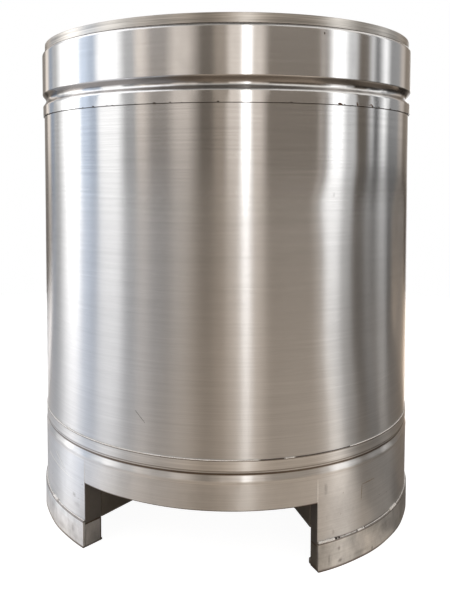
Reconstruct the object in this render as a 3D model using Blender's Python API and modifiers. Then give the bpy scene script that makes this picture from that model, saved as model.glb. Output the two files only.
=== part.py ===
"""Stainless steel tank: a rolled shell with dished ends, a grooved collar on top and two curved feet.

Units are metres, +Z is up and the origin is on the floor under the tank's axis. The two openings
between the feet face -Y and +Y, and the feet stand at -X and +X.
"""

import math

import bmesh
import bpy

# Facets: every turned piece has its corners on the same rays, so that laps stay clear all round
FACETS = 60
FACET_ANGLE = 360.0 / FACETS
OPENING_FACETS = 11
FOOT_FACETS = FACETS // 2 - OPENING_FACETS
OPENING_HALF_ANGLE = OPENING_FACETS * FACET_ANGLE / 2
RIGHT_FOOT_START = -90.0 + OPENING_HALF_ANGLE
LEFT_FOOT_START = RIGHT_FOOT_START + 180.0
FRONT_OPENING_START = -90.0 - OPENING_HALF_ANGLE
BACK_OPENING_START = FRONT_OPENING_START + 180.0

# Gaps: between faces that touch, and where a flat plate meets a faceted wall
TOUCH = 0.0003
PLATE_FIT = 0.0007

# Shell and ends
BODY_RADIUS = 0.625
SHELL_SHEET = 0.003
SHELL_BOTTOM = 0.3215
SHELL_TOP = 1.3215
HEAD_SHEET = 0.003
HEAD_RADIUS = BODY_RADIUS - SHELL_SHEET - TOUCH
HEAD_FLANGE = 0.030
HEAD_KNUCKLE = 0.060
HEAD_CROWN = 2.500
TOP_HEAD_TANGENT = 1.2900
BOTTOM_HEAD_TANGENT = 0.3450
KNUCKLE_STEPS = 4
CROWN_STEPS = 4

# Collar
COLLAR_SHEET = 0.0035
COLLAR_BOTTOM = 1.3055
COLLAR_LAP_RADIUS = 0.6288
COLLAR_BAND_RADIUS = 0.6303
GROOVE_BOTTOM = 1.3365
GROOVE_TOP = 1.3775
GROOVE_DEPTH = 0.0110
GROOVE_UPPER_POWER = 1.15
GROOVE_LOWER_POWER = 1.60
GROOVE_STEPS = 8
SHOULDER_RADIUS = 0.0095
SHOULDER_STEPS = 3
COLLAR_TOP = 1.5135
COLLAR_FLANGE_RADIUS = 0.6000

# Stacking rim
RIM_RADIUS = 0.6213
RIM_WIDTH = 0.0120
RIM_TOP = 1.5410
RIM_ROUNDING = 0.0035

# Skirt
SKIRT_SHEET = 0.002
LAP_TOP = 0.3375
LAP_BOTTOM = 0.3070
LAP_RADIUS = 0.6273
BEAD_HOLLOW_HEIGHT = 0.2970
BEAD_HOLLOW_RADIUS = 0.6243
BEAD_CREST_HEIGHT = 0.2790
BEAD_CREST_RADIUS = 0.6292
BEAD_FOOT_HEIGHT = 0.2725
SKIRT_RADIUS = 0.6283
SKIRT_RING_BOTTOM = 0.2670
OPENING_TOP = 0.1975

# Feet. The left one is deeper than the right one.
BASE_TOP = 0.0815
BASE_BAND_RADIUS = 0.6340
BASE_BAND_SHEET = 0.0080
BOX_TOP = 0.0715
FOOT_PLATE = 0.004
LEFT_INNER_RADIUS = 0.5660
LEFT_LIP_HEIGHT = 0.0060
LEFT_LIP_THICKNESS = 0.0035
RIGHT_INNER_RADIUS = 0.5920
RIGHT_LIP_HEIGHT = 0.0190
RIGHT_LIP_THICKNESS = 0.0110

# Ribs under the bottom end. Their lower edges rise from the left foot to a knee near the right one.
RIB_PLATE = 0.005
RIB_LEFT_END = 0.0735
RIB_KNEE_RADIUS = 0.5090
RIB_KNEE = 0.1270
RIB_RIGHT_END = 0.1110
RIB_SHOULDER = 0.2800

# Manway in the recess
MANWAY_RADIUS = 0.2000
MANWAY_SHEET = 0.003
MANWAY_TOP = 1.4650
MANWAY_FLANGE_RADIUS = 0.2160
MANWAY_FLANGE_HEIGHT = 0.006
LID_RADIUS = 0.2160
LID_EDGE = 0.006
LID_RISE = 0.018
CLAMP_RADIUS = 0.2215
CLAMP_SHEET = 0.002
CLAMP_OVERHANG = 0.010
HANDLE_SPAN = 0.110
HANDLE_HEIGHT = 0.034
HANDLE_ROD = 0.005


def clear_scene():
    """Removes what the file opened with."""
    for obj in list(bpy.data.objects):
        bpy.data.objects.remove(obj, do_unlink=True)


def steel(name, colour, roughness):
    """A bare steel finish."""
    material = bpy.data.materials.new(name)
    material.use_nodes = True
    shader = material.node_tree.nodes["Principled BSDF"]
    shader.inputs["Base Color"].default_value = (*colour, 1.0)
    shader.inputs["Metallic"].default_value = 1.0
    shader.inputs["Roughness"].default_value = roughness
    return material


def collect(obj, material):
    """Puts a piece in the tank's collection with its finish."""
    obj.data.materials.append(material)
    bpy.data.collections["stainless_steel_tank"].objects.link(obj)
    return obj


def outline_mesh(name, outline, closed):
    """A mesh of edges through the outline's (radius, height) points."""
    mesh = bpy.data.meshes.new(name)
    shape = bmesh.new()
    corners = [shape.verts.new((radius, 0.0, height)) for radius, height in outline]
    for first, second in zip(corners, corners[1:]):
        shape.edges.new((first, second))
    if closed:
        shape.edges.new((corners[-1], corners[0]))
    shape.to_mesh(mesh)
    shape.free()
    return mesh


def turn(obj, start, facets):
    """Turns the object's outline about Z, from the start angle through a number of facets."""
    obj.rotation_euler.z = math.radians(start)
    screw = obj.modifiers.new("Turn", "SCREW")
    screw.angle = math.radians(facets * FACET_ANGLE)
    screw.steps = screw.render_steps = facets
    screw.use_merge_vertices = True
    screw.merge_threshold = 0.00005
    screw.use_smooth_shade = True
    return screw


def rolled_sheet(name, outline, thickness, material, start=RIGHT_FOOT_START, facets=FACETS, inset=0.0):
    """A sheet rolled about Z. The outline is its outer face from top to bottom.

    inset shortens each end of an arc by that distance along the curve.
    """
    obj = bpy.data.objects.new(name, outline_mesh(name, outline, closed=False))
    inset_angle = math.degrees(inset / max(radius for radius, _ in outline))
    screw = turn(obj, start + inset_angle, facets)
    screw.angle -= math.radians(2 * inset_angle)
    solidify = obj.modifiers.new("Sheet", "SOLIDIFY")
    solidify.thickness = thickness
    solidify.offset = -1.0
    solidify.use_even_offset = True
    solidify.use_quality_normals = True
    return collect(obj, material)


def turned_solid(name, outline, material):
    """A full turn of a solid outline, which runs down its outer side.

    An outline that starts on the axis ends there too. Any other closes on itself as a ring.
    """
    is_ring = outline[0][0] > 0.0
    obj = bpy.data.objects.new(name, outline_mesh(name, outline, closed=is_ring))
    turn(obj, RIGHT_FOOT_START, FACETS)
    return collect(obj, material)


def radial_plate(name, azimuth, side, inner, outer, bottom, top, thickness, material):
    """An upright plate whose one face is in the radial plane at the azimuth, and which lies on its side."""
    mesh = bpy.data.meshes.new(name)
    shape = bmesh.new()
    bmesh.ops.create_cube(shape, size=1.0)
    bmesh.ops.scale(shape, vec=(outer - inner, thickness, top - bottom), verts=shape.verts)
    offset = ((inner + outer) / 2, side * thickness / 2, (bottom + top) / 2)
    bmesh.ops.translate(shape, vec=offset, verts=shape.verts)
    shape.to_mesh(mesh)
    shape.free()
    obj = bpy.data.objects.new(name, mesh)
    obj.rotation_euler.z = math.radians(azimuth)
    return collect(obj, material)


def flat_plate(name, outline, thickness, azimuth, material):
    """An upright plate of the (radius, height) outline, centred on the plane at the azimuth."""
    curve = bpy.data.curves.new(name, "CURVE")
    curve.dimensions = "2D"
    curve.fill_mode = "BOTH"
    curve.extrude = thickness / 2
    spline = curve.splines.new("POLY")
    spline.points.add(len(outline) - 1)
    for point, (radius, height) in zip(spline.points, outline):
        point.co = (radius, height, 0.0, 1.0)
    spline.use_cyclic_u = True
    obj = bpy.data.objects.new(name, curve)
    obj.rotation_euler = (math.pi / 2, 0.0, math.radians(azimuth))
    return collect(obj, material)


def dish_depths(radius):
    """(radius, depth past the tangent line) of a dished end's outer face, from its edge to the axis."""
    knuckle_centre = radius - HEAD_KNUCKLE
    blend = math.asin(knuckle_centre / (HEAD_CROWN - HEAD_KNUCKLE))
    crown_centre = (HEAD_CROWN - HEAD_KNUCKLE) * math.cos(blend)
    points = []
    for step in range(KNUCKLE_STEPS + 1):
        angle = (math.pi / 2 - blend) * step / KNUCKLE_STEPS
        points.append((knuckle_centre + HEAD_KNUCKLE * math.cos(angle), HEAD_KNUCKLE * math.sin(angle)))
    for step in range(1, CROWN_STEPS + 1):
        angle = blend * (1 - step / CROWN_STEPS)
        points.append((HEAD_CROWN * math.sin(angle), HEAD_CROWN * math.cos(angle) - crown_centre))
    return points


def dish_depth_at(radius):
    """Depth of a dished end's outer face at a radius within its crown."""
    crown_centre = dish_depths(HEAD_RADIUS)[-1][1] - HEAD_CROWN
    return crown_centre + math.sqrt(HEAD_CROWN**2 - radius**2)


def make_shell(finish):
    """The tank's plain wall."""
    outline = [(BODY_RADIUS, SHELL_TOP), (BODY_RADIUS, SHELL_BOTTOM)]
    rolled_sheet("shell", outline, SHELL_SHEET, finish)


def make_top_head(finish):
    """The dished top end, with the manway's hole in its middle."""
    hole = MANWAY_RADIUS + TOUCH
    dish = [(radius, TOP_HEAD_TANGENT + depth) for radius, depth in dish_depths(HEAD_RADIUS) if radius > hole]
    outline = [(hole, TOP_HEAD_TANGENT + dish_depth_at(hole))] + dish[::-1]
    outline.append((HEAD_RADIUS, TOP_HEAD_TANGENT - HEAD_FLANGE))
    rolled_sheet("top_head", outline, HEAD_SHEET, finish)


def make_bottom_head(finish):
    """The dished bottom end, closed on the axis."""
    dish = dish_depths(HEAD_RADIUS)
    outer = [(radius, BOTTOM_HEAD_TANGENT - depth) for radius, depth in dish]
    scale = (HEAD_RADIUS - HEAD_SHEET) / HEAD_RADIUS
    inner = [(radius * scale, height + HEAD_SHEET) for radius, height in outer]
    inner[0] = (inner[0][0], outer[0][1])
    rim_height = BOTTOM_HEAD_TANGENT + HEAD_FLANGE
    rim = [(inner[0][0], rim_height), (HEAD_RADIUS, rim_height)]
    turned_solid("bottom_head", inner[::-1] + rim + outer, finish)


def groove_outline():
    """The collar's rolled groove, from its upper edge to its lower one."""
    points = []
    for step in range(1, GROOVE_STEPS):
        share = step / GROOVE_STEPS
        band = COLLAR_BAND_RADIUS + (COLLAR_LAP_RADIUS - COLLAR_BAND_RADIUS) * share
        power = GROOVE_UPPER_POWER if share < 0.5 else GROOVE_LOWER_POWER
        hollow = GROOVE_DEPTH * math.sin(math.pi * share) ** power
        points.append((band - hollow, GROOVE_TOP + (GROOVE_BOTTOM - GROOVE_TOP) * share))
    return points


def shoulder_outline():
    """The collar's rounded top edge, from its flat top down to its wall."""
    points = []
    for step in range(SHOULDER_STEPS + 1):
        angle = math.pi / 2 * step / SHOULDER_STEPS
        radius = COLLAR_BAND_RADIUS - SHOULDER_RADIUS * (1 - math.sin(angle))
        height = COLLAR_TOP - SHOULDER_RADIUS * (1 - math.cos(angle))
        points.append((radius, height))
    return points


def make_collar(finish):
    """The grooved collar, which laps over the shell and turns in at its top to carry the rim."""
    outline = [(COLLAR_FLANGE_RADIUS, COLLAR_TOP)]
    outline += shoulder_outline()
    outline.append((COLLAR_BAND_RADIUS, GROOVE_TOP))
    outline += groove_outline()
    outline += [(COLLAR_LAP_RADIUS, GROOVE_BOTTOM), (COLLAR_LAP_RADIUS, COLLAR_BOTTOM)]
    rolled_sheet("top_collar", outline, COLLAR_SHEET, finish)


def make_rim(finish):
    """The stacking rim, a bar ring that stands on the collar."""
    inner = RIM_RADIUS - RIM_WIDTH
    bottom = COLLAR_TOP + TOUCH
    outline = [
        (inner, RIM_TOP - RIM_ROUNDING),
        (inner + RIM_ROUNDING, RIM_TOP),
        (RIM_RADIUS - RIM_ROUNDING, RIM_TOP),
        (RIM_RADIUS, RIM_TOP - RIM_ROUNDING),
        (RIM_RADIUS, bottom),
        (inner, bottom),
    ]
    turned_solid("stacking_rim", outline, finish)


def make_skirt_ring(finish):
    """The lap band and bead below the shell, which carry the aprons and the feet."""
    outline = [
        (LAP_RADIUS, LAP_TOP),
        (LAP_RADIUS, LAP_BOTTOM),
        (BEAD_HOLLOW_RADIUS, BEAD_HOLLOW_HEIGHT),
        (BEAD_CREST_RADIUS, BEAD_CREST_HEIGHT),
        (SKIRT_RADIUS, BEAD_FOOT_HEIGHT),
        (SKIRT_RADIUS, SKIRT_RING_BOTTOM),
    ]
    rolled_sheet("skirt_ring", outline, SKIRT_SHEET, finish)


def make_apron(name, start, finish):
    """The part of the skirt that hangs over an opening."""
    outline = [(SKIRT_RADIUS, SKIRT_RING_BOTTOM - TOUCH), (SKIRT_RADIUS, OPENING_TOP)]
    rolled_sheet(name, outline, SKIRT_SHEET, finish, start, OPENING_FACETS, TOUCH)


def make_foot(side, start, inner_radius, lip_height, lip_thickness, finish, base_finish):
    """One curved foot: its skin, and a closed box of plates below it with two end plates on top."""
    end = start + FOOT_FACETS * FACET_ANGLE
    skin = [(SKIRT_RADIUS, SKIRT_RING_BOTTOM - TOUCH), (SKIRT_RADIUS, BASE_TOP + TOUCH)]
    rolled_sheet(f"foot_skin_{side}", skin, SKIRT_SHEET, finish, start, FOOT_FACETS, TOUCH)
    band = [(BASE_BAND_RADIUS, BASE_TOP), (BASE_BAND_RADIUS, 0.0)]
    rolled_sheet(f"base_band_{side}", band, BASE_BAND_SHEET, base_finish, start, FOOT_FACETS)

    wall_radius = inner_radius + FOOT_PLATE
    wall = [(wall_radius, BOX_TOP), (wall_radius, 0.0)]
    rolled_sheet(f"base_inner_wall_{side}", wall, FOOT_PLATE, base_finish, start, FOOT_FACETS)
    lip_radius = inner_radius - TOUCH
    lip = [(lip_radius, lip_height), (lip_radius, 0.0)]
    rolled_sheet(f"base_lip_{side}", lip, lip_thickness, base_finish, start, FOOT_FACETS)

    between_inner = wall_radius + PLATE_FIT
    between_outer = BASE_BAND_RADIUS - BASE_BAND_SHEET - PLATE_FIT
    setback = (FOOT_PLATE + PLATE_FIT) * between_outer / between_inner
    for name, top in (("sole", FOOT_PLATE), ("base_shelf", BOX_TOP)):
        level = [(between_inner, top), (between_outer, top)]
        rolled_sheet(f"{name}_{side}", level, FOOT_PLATE, base_finish, start, FOOT_FACETS, setback)

    skin_inner = SKIRT_RADIUS - SKIRT_SHEET - PLATE_FIT
    for place, azimuth, turn_in in (("a", start, 1), ("b", end, -1)):
        radial_plate(f"base_end_{side}_{place}", azimuth, turn_in, between_inner, between_outer,
                     0.0, BOX_TOP, FOOT_PLATE, base_finish)
        radial_plate(f"foot_end_{side}_{place}", azimuth, turn_in, inner_radius, skin_inner,
                     BOX_TOP + TOUCH, OPENING_TOP, FOOT_PLATE, finish)


def rib_underside(side):
    """The lower edge of one half of a rib, from the axis out to the foot."""
    left_run = LEFT_INNER_RADIUS - TOUCH
    centre = RIB_LEFT_END + (RIB_KNEE - RIB_LEFT_END) * left_run / (left_run + RIB_KNEE_RADIUS)
    if side == "left":
        return [(0.0, centre), (left_run, RIB_LEFT_END)]
    return [(0.0, centre), (RIB_KNEE_RADIUS, RIB_KNEE), (RIGHT_INNER_RADIUS - TOUCH, RIB_RIGHT_END)]


def rib_outline(inner, side):
    """Half of a rib from its inner end out to the skirt, under the bottom end's outer face."""
    underside = rib_underside(side)
    centre, (first_radius, first_height) = underside[0][1], underside[1]
    shoulder_radius = SKIRT_RADIUS - SKIRT_SHEET - PLATE_FIT
    step_radius = underside[-1][0]
    outline = [
        (inner, centre + (first_height - centre) * inner / first_radius),
        *underside[1:],
        (step_radius, OPENING_TOP + TOUCH),
        (shoulder_radius, OPENING_TOP + TOUCH),
        (shoulder_radius, RIB_SHOULDER),
    ]
    for radius, depth in dish_depths(HEAD_RADIUS):
        height = BOTTOM_HEAD_TANGENT - depth - PLATE_FIT
        if radius > inner and height < RIB_SHOULDER:
            outline.append((radius, height))
    outline.append((inner, BOTTOM_HEAD_TANGENT - dish_depth_at(inner) - PLATE_FIT))
    return outline


def make_ribs(finish):
    """Two crossed ribs on the lines of the feet's ends. One runs through and the other is in two halves."""
    right = rib_outline(0.0, "right")
    left = [(-radius, height) for radius, height in rib_outline(0.0, "left")[-2:0:-1]]
    flat_plate("rib_through", right[1:] + left, RIB_PLATE, RIGHT_FOOT_START, finish)
    crossing = math.radians(2 * OPENING_HALF_ANGLE)
    clear = (RIB_PLATE / 2 * (1 + math.cos(crossing)) + TOUCH) / math.sin(crossing)
    flat_plate("rib_front_left", rib_outline(clear, "left"), RIB_PLATE, FRONT_OPENING_START, finish)
    flat_plate("rib_back_right", rib_outline(clear, "right"), RIB_PLATE, BACK_OPENING_START, finish)


def make_manway(finish):
    """The closed manway: neck, flange, lid, clamp ring and the lid's handle."""
    neck_bottom = TOP_HEAD_TANGENT + dish_depth_at(MANWAY_RADIUS) - HEAD_FLANGE
    neck = [(MANWAY_RADIUS, MANWAY_TOP), (MANWAY_RADIUS, neck_bottom)]
    rolled_sheet("manway_neck", neck, MANWAY_SHEET, finish)

    flange_bottom = MANWAY_TOP - MANWAY_FLANGE_HEIGHT
    flange_inner = MANWAY_RADIUS + TOUCH
    flange = [
        (flange_inner, MANWAY_TOP),
        (MANWAY_FLANGE_RADIUS, MANWAY_TOP),
        (MANWAY_FLANGE_RADIUS, flange_bottom),
        (flange_inner, flange_bottom),
    ]
    turned_solid("manway_flange", flange, finish)

    lid_bottom = MANWAY_TOP + TOUCH
    lid_top = lid_bottom + LID_EDGE
    dome_radius = LID_RADIUS - CLAMP_OVERHANG - CLAMP_SHEET
    lid = [
        (0.0, lid_top + LID_RISE),
        (dome_radius * 0.35, lid_top + LID_RISE * 0.93),
        (dome_radius * 0.65, lid_top + LID_RISE * 0.70),
        (dome_radius * 0.88, lid_top + LID_RISE * 0.32),
        (dome_radius, lid_top),
        (LID_RADIUS, lid_top),
        (LID_RADIUS, lid_bottom),
        (0.0, lid_bottom),
    ]
    turned_solid("manway_lid", lid, finish)

    clamp_top = lid_top + TOUCH + CLAMP_SHEET
    clamp_bottom = flange_bottom - TOUCH - CLAMP_SHEET
    clamp = [
        (CLAMP_RADIUS - CLAMP_OVERHANG, clamp_top),
        (CLAMP_RADIUS, clamp_top),
        (CLAMP_RADIUS, clamp_bottom),
        (CLAMP_RADIUS - CLAMP_OVERHANG, clamp_bottom),
    ]
    rolled_sheet("manway_clamp", clamp, CLAMP_SHEET, finish)


def make_lid_handle(finish):
    """The bent rod handle on the lid."""
    half = HANDLE_SPAN / 2
    foot = MANWAY_TOP + LID_EDGE + LID_RISE * 0.95 + 2 * TOUCH
    bend = HANDLE_HEIGHT / 3
    top = foot + HANDLE_HEIGHT
    route = [(-half, foot), (-half, top - bend), (-half + bend * 0.3, top - bend * 0.3), (-half + bend, top)]
    route += [(-across, height) for across, height in route[::-1]]
    curve = bpy.data.curves.new("lid_handle", "CURVE")
    curve.dimensions = "3D"
    curve.bevel_depth = HANDLE_ROD
    curve.bevel_resolution = 2
    curve.use_fill_caps = True
    spline = curve.splines.new("POLY")
    spline.points.add(len(route) - 1)
    for point, (across, height) in zip(spline.points, route):
        point.co = (across, 0.0, height, 1.0)
    collect(bpy.data.objects.new("lid_handle", curve), finish)


def build():
    """Makes the whole tank."""
    clear_scene()
    collection = bpy.data.collections.new("stainless_steel_tank")
    bpy.context.scene.collection.children.link(collection)
    wall_finish = steel("brushed_wall", (0.62, 0.60, 0.58), 0.28)
    collar_finish = steel("brushed_collar", (0.64, 0.62, 0.60), 0.24)
    rim_finish = steel("turned_rim", (0.55, 0.53, 0.50), 0.34)
    base_finish = steel("dull_base", (0.50, 0.49, 0.48), 0.42)
    rib_finish = steel("mill_plate", (0.34, 0.32, 0.30), 0.50)

    make_shell(wall_finish)
    make_top_head(wall_finish)
    make_bottom_head(rib_finish)
    make_collar(collar_finish)
    make_rim(rim_finish)
    make_skirt_ring(wall_finish)
    make_apron("apron_front", FRONT_OPENING_START, wall_finish)
    make_apron("apron_back", BACK_OPENING_START, wall_finish)
    make_foot("right", RIGHT_FOOT_START, RIGHT_INNER_RADIUS, RIGHT_LIP_HEIGHT, RIGHT_LIP_THICKNESS,
              wall_finish, base_finish)
    make_foot("left", LEFT_FOOT_START, LEFT_INNER_RADIUS, LEFT_LIP_HEIGHT, LEFT_LIP_THICKNESS,
              wall_finish, base_finish)
    make_ribs(rib_finish)
    make_manway(collar_finish)
    make_lid_handle(rim_finish)


build()
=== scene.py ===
"""Looks of the stainless steel tank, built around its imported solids.

Units are metres. The origin is on the floor under the tank's axis and +Z is up. The openings between
the feet face -Y and +Y, and the feet stand at -X and +X. An azimuth is measured in degrees round the
axis, from 0 at -Y through +90 at +X, unless it is said to be in radians.
"""

import logging
import math
from dataclasses import dataclass, replace
from enum import Enum
from typing import Callable, Sequence

import bmesh
import bpy
import numpy as np
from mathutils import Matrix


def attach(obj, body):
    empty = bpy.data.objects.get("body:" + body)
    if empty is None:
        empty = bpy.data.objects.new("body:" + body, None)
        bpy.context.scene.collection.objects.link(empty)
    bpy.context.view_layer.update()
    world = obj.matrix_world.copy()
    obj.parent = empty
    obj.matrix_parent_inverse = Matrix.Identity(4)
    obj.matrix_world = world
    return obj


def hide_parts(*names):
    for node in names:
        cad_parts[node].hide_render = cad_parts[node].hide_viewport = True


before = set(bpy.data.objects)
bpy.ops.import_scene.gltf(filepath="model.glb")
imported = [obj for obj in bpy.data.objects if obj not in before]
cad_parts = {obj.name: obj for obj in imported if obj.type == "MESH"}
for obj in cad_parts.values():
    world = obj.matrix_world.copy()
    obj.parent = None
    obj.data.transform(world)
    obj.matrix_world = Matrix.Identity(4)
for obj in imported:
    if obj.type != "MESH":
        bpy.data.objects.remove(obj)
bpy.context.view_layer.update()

LOG = logging.getLogger("tank")

Point2 = tuple[float, float]
Colour = tuple[float, float, float]
Socket = bpy.types.NodeSocket
Piece = bpy.types.Object
Displace = Callable[[np.ndarray, np.ndarray, np.ndarray], np.ndarray]

FULL_TURN = 360.0
HALF_TURN = 180.0
BODY_RADIUS = 0.625
TOUCH = 0.0003  # the gap between two plates that are welded together
ON_AXIS = 1e-6  # a point with a smaller radius is on the axis
ROW = 0.02  # how high a flat wall's faces may be
UPRIGHT = 0.1  # makes short waves stand nearly upright
WALL_STEPS, HEAD_STEPS, SMALL_STEPS, FOOT_STEPS, APRON_STEPS = 432, 240, 180, 114, 66
SHADE_ANGLE, LUMP_ANGLE = 35.0, 60.0  # the least angle of an edge that shows, on sheet and on weld metal
ACROSS_GRAIN = 0.25  # turns reflections across the brushing
SPECKLE_SCALE = 10000.0
WHITE = (1.0, 1.0, 1.0, 1.0)


class Slot(Enum):
    """The record's material slots."""

    WALL = "wall"
    COLLAR = "collar"
    RIM = "rim"
    BASE = "base"
    PLATE = "plate"


class Grain(Enum):
    """How a finish is brushed, as the scales of its fine and its coarse noise."""

    ROUND = ((7.0, 7.0, 700.0), (2.6, 2.6, 150.0))
    NONE = ((160.0, 160.0, 160.0), (30.0, 30.0, 30.0))


def opaque(colour: object) -> object:
    """A plain colour with its alpha, or a socket as it is."""
    return (*colour, 1.0) if isinstance(colour, tuple) else colour


class Wiring:
    """Short calls for adding and joining the nodes of one tree."""

    def __init__(self, tree: bpy.types.NodeTree) -> None:
        """Keeps the tree that the calls work on."""
        self.tree = tree

    def feed(self, socket: Socket, value: object) -> None:
        """Gives a socket a link or a constant.

        Args:
            socket: the input socket.
            value: another node's output socket, or the constant.
        """
        if isinstance(value, Socket):
            self.tree.links.new(value, socket)
        else:
            socket.default_value = value

    def add(self, kind: str, inputs: dict | None = None, **settings: object) -> bpy.types.Node:
        """Adds a node.

        Args:
            kind: the node's type name.
            inputs: its inputs by name or index, each a socket or a constant.
            **settings: its own properties.

        Returns:
            The new node.
        """
        node = self.tree.nodes.new(kind)
        for name, setting in settings.items():
            setattr(node, name, setting)
        for key, value in (inputs or {}).items():
            self.feed(node.inputs[key], value)
        return node

    def out(self, kind: str, inputs: dict | None = None, output: int | str = 0,
            **settings: object) -> Socket:
        """Adds a node and returns one of its outputs."""
        return self.add(kind, inputs, **settings).outputs[output]

    def math(self, operation: str, *terms: object) -> Socket:
        """Adds a Math node and returns its result."""
        return self.out("ShaderNodeMath", dict(enumerate(terms)), operation=operation)

    def times(self, first: object, second: object) -> Socket:
        """The product of two numbers."""
        return self.math("MULTIPLY", first, second)

    def minus(self, first: object, second: object) -> Socket:
        """The difference of two numbers."""
        return self.math("SUBTRACT", first, second)

    def fused(self, first: object, second: object, third: object) -> Socket:
        """The product of the first two numbers plus the third."""
        return self.math("MULTIPLY_ADD", first, second, third)

    def vector(self, operation: str, *terms: object) -> Socket:
        """Adds a Vector Math node and returns its vector."""
        return self.out("ShaderNodeVectorMath", dict(enumerate(terms)), "Vector", operation=operation)

    def scale(self, term: object, factor: object) -> Socket:
        """A vector times a number."""
        return self.out("ShaderNodeVectorMath", {0: term, "Scale": factor}, "Vector", operation="SCALE")

    def combine(self, across: object = 0.0, along: object = 0.0, up: object = 0.0) -> Socket:
        """A vector from its parts."""
        return self.out("ShaderNodeCombineXYZ", {"X": across, "Y": along, "Z": up})

    def part(self, vector: Socket, axis: str) -> Socket:
        """One part of a vector, such as its Z."""
        return self.out("ShaderNodeSeparateXYZ", {0: vector}, axis)

    def azimuth(self, vector: Socket) -> Socket:
        """The azimuth of a place or a way, in radians."""
        return self.math("ARCTAN2", self.part(vector, "X"), self.times(self.part(vector, "Y"), -1.0))

    def on_circle(self, azimuth: object, radius: object, height: object) -> Socket:
        """The place at an azimuth in radians, a radius and a height."""
        across, along = (self.times(self.math(turn, azimuth), radius) for turn in ("SINE", "COSINE"))
        return self.combine(across, self.times(along, -1.0), height)

    def map_range(self, value: object, low: float, high: float, to_low: float = 0.0,
                  to_high: float = 1.0) -> Socket:
        """Maps a number onto a range along an S curve.

        Args:
            value: what is mapped.
            low: the value that gives to_low.
            high: the value that gives to_high.
            to_low: the result at the low end.
            to_high: the result at the high end.

        Returns:
            The result's socket.
        """
        inputs = {"Value": value, "From Min": low, "From Max": high, "To Min": to_low, "To Max": to_high}
        return self.out("ShaderNodeMapRange", inputs, "Result", interpolation_type="SMOOTHSTEP")

    def noise(self, place: object, scale: float = 1.0, detail: float = 2.0, roughness: float = 0.5) -> Socket:
        """Adds a Noise Texture and returns its value, from 0 to 1."""
        inputs = {"Vector": place, "Scale": scale, "Detail": detail, "Roughness": roughness}
        return self.out("ShaderNodeTexNoise", inputs)

    def mix(self, share: object, first: object, second: object) -> Socket:
        """Adds a colour Mix node and returns its colour."""
        return self.out("ShaderNodeMix", {0: share, 6: opaque(first), 7: opaque(second)}, 2, data_type="RGBA")

    def either(self, reflected: Socket, seen: Socket) -> Socket:
        """A stage's shader: one for reflections and light, and one for the backdrop."""
        backdrop = self.out("ShaderNodeLightPath", output="Is Camera Ray")
        return self.out("ShaderNodeMixShader", {0: backdrop, 1: reflected, 2: seen})


def start_material(name: str) -> tuple[bpy.types.Material, Wiring, bpy.types.Node, Socket]:
    """Starts a node material.

    Args:
        name: its name.

    Returns:
        The material, its wiring, its Principled shader and the Object coordinates.
    """
    material = bpy.data.materials.new(name)
    material.use_nodes = True
    wires = Wiring(material.node_tree)
    place = wires.out("ShaderNodeTexCoord", output="Object")
    return material, wires, material.node_tree.nodes["Principled BSDF"], place


@dataclass(frozen=True)
class Stain:
    """A smudge on the metal."""

    azimuth: float
    height: float
    width: float
    rise: float
    strength: float
    radius: float = 0.630

    def centre(self) -> tuple[float, float, float]:
        """The place of the smudge's middle."""
        angle = math.radians(self.azimuth)
        return (self.radius * math.sin(angle), -self.radius * math.cos(angle), self.height)


@dataclass(frozen=True)
class ShadeBand:
    """A level band of painted shade in a groove, a crevice, a crease or along an edge."""

    height: float
    reach: float
    strength: float


@dataclass(frozen=True)
class Wear:
    """Rubbing that dulls the metal from one height down to another, and stays as dull below."""

    top: float
    bottom: float
    roughness: float


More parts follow.
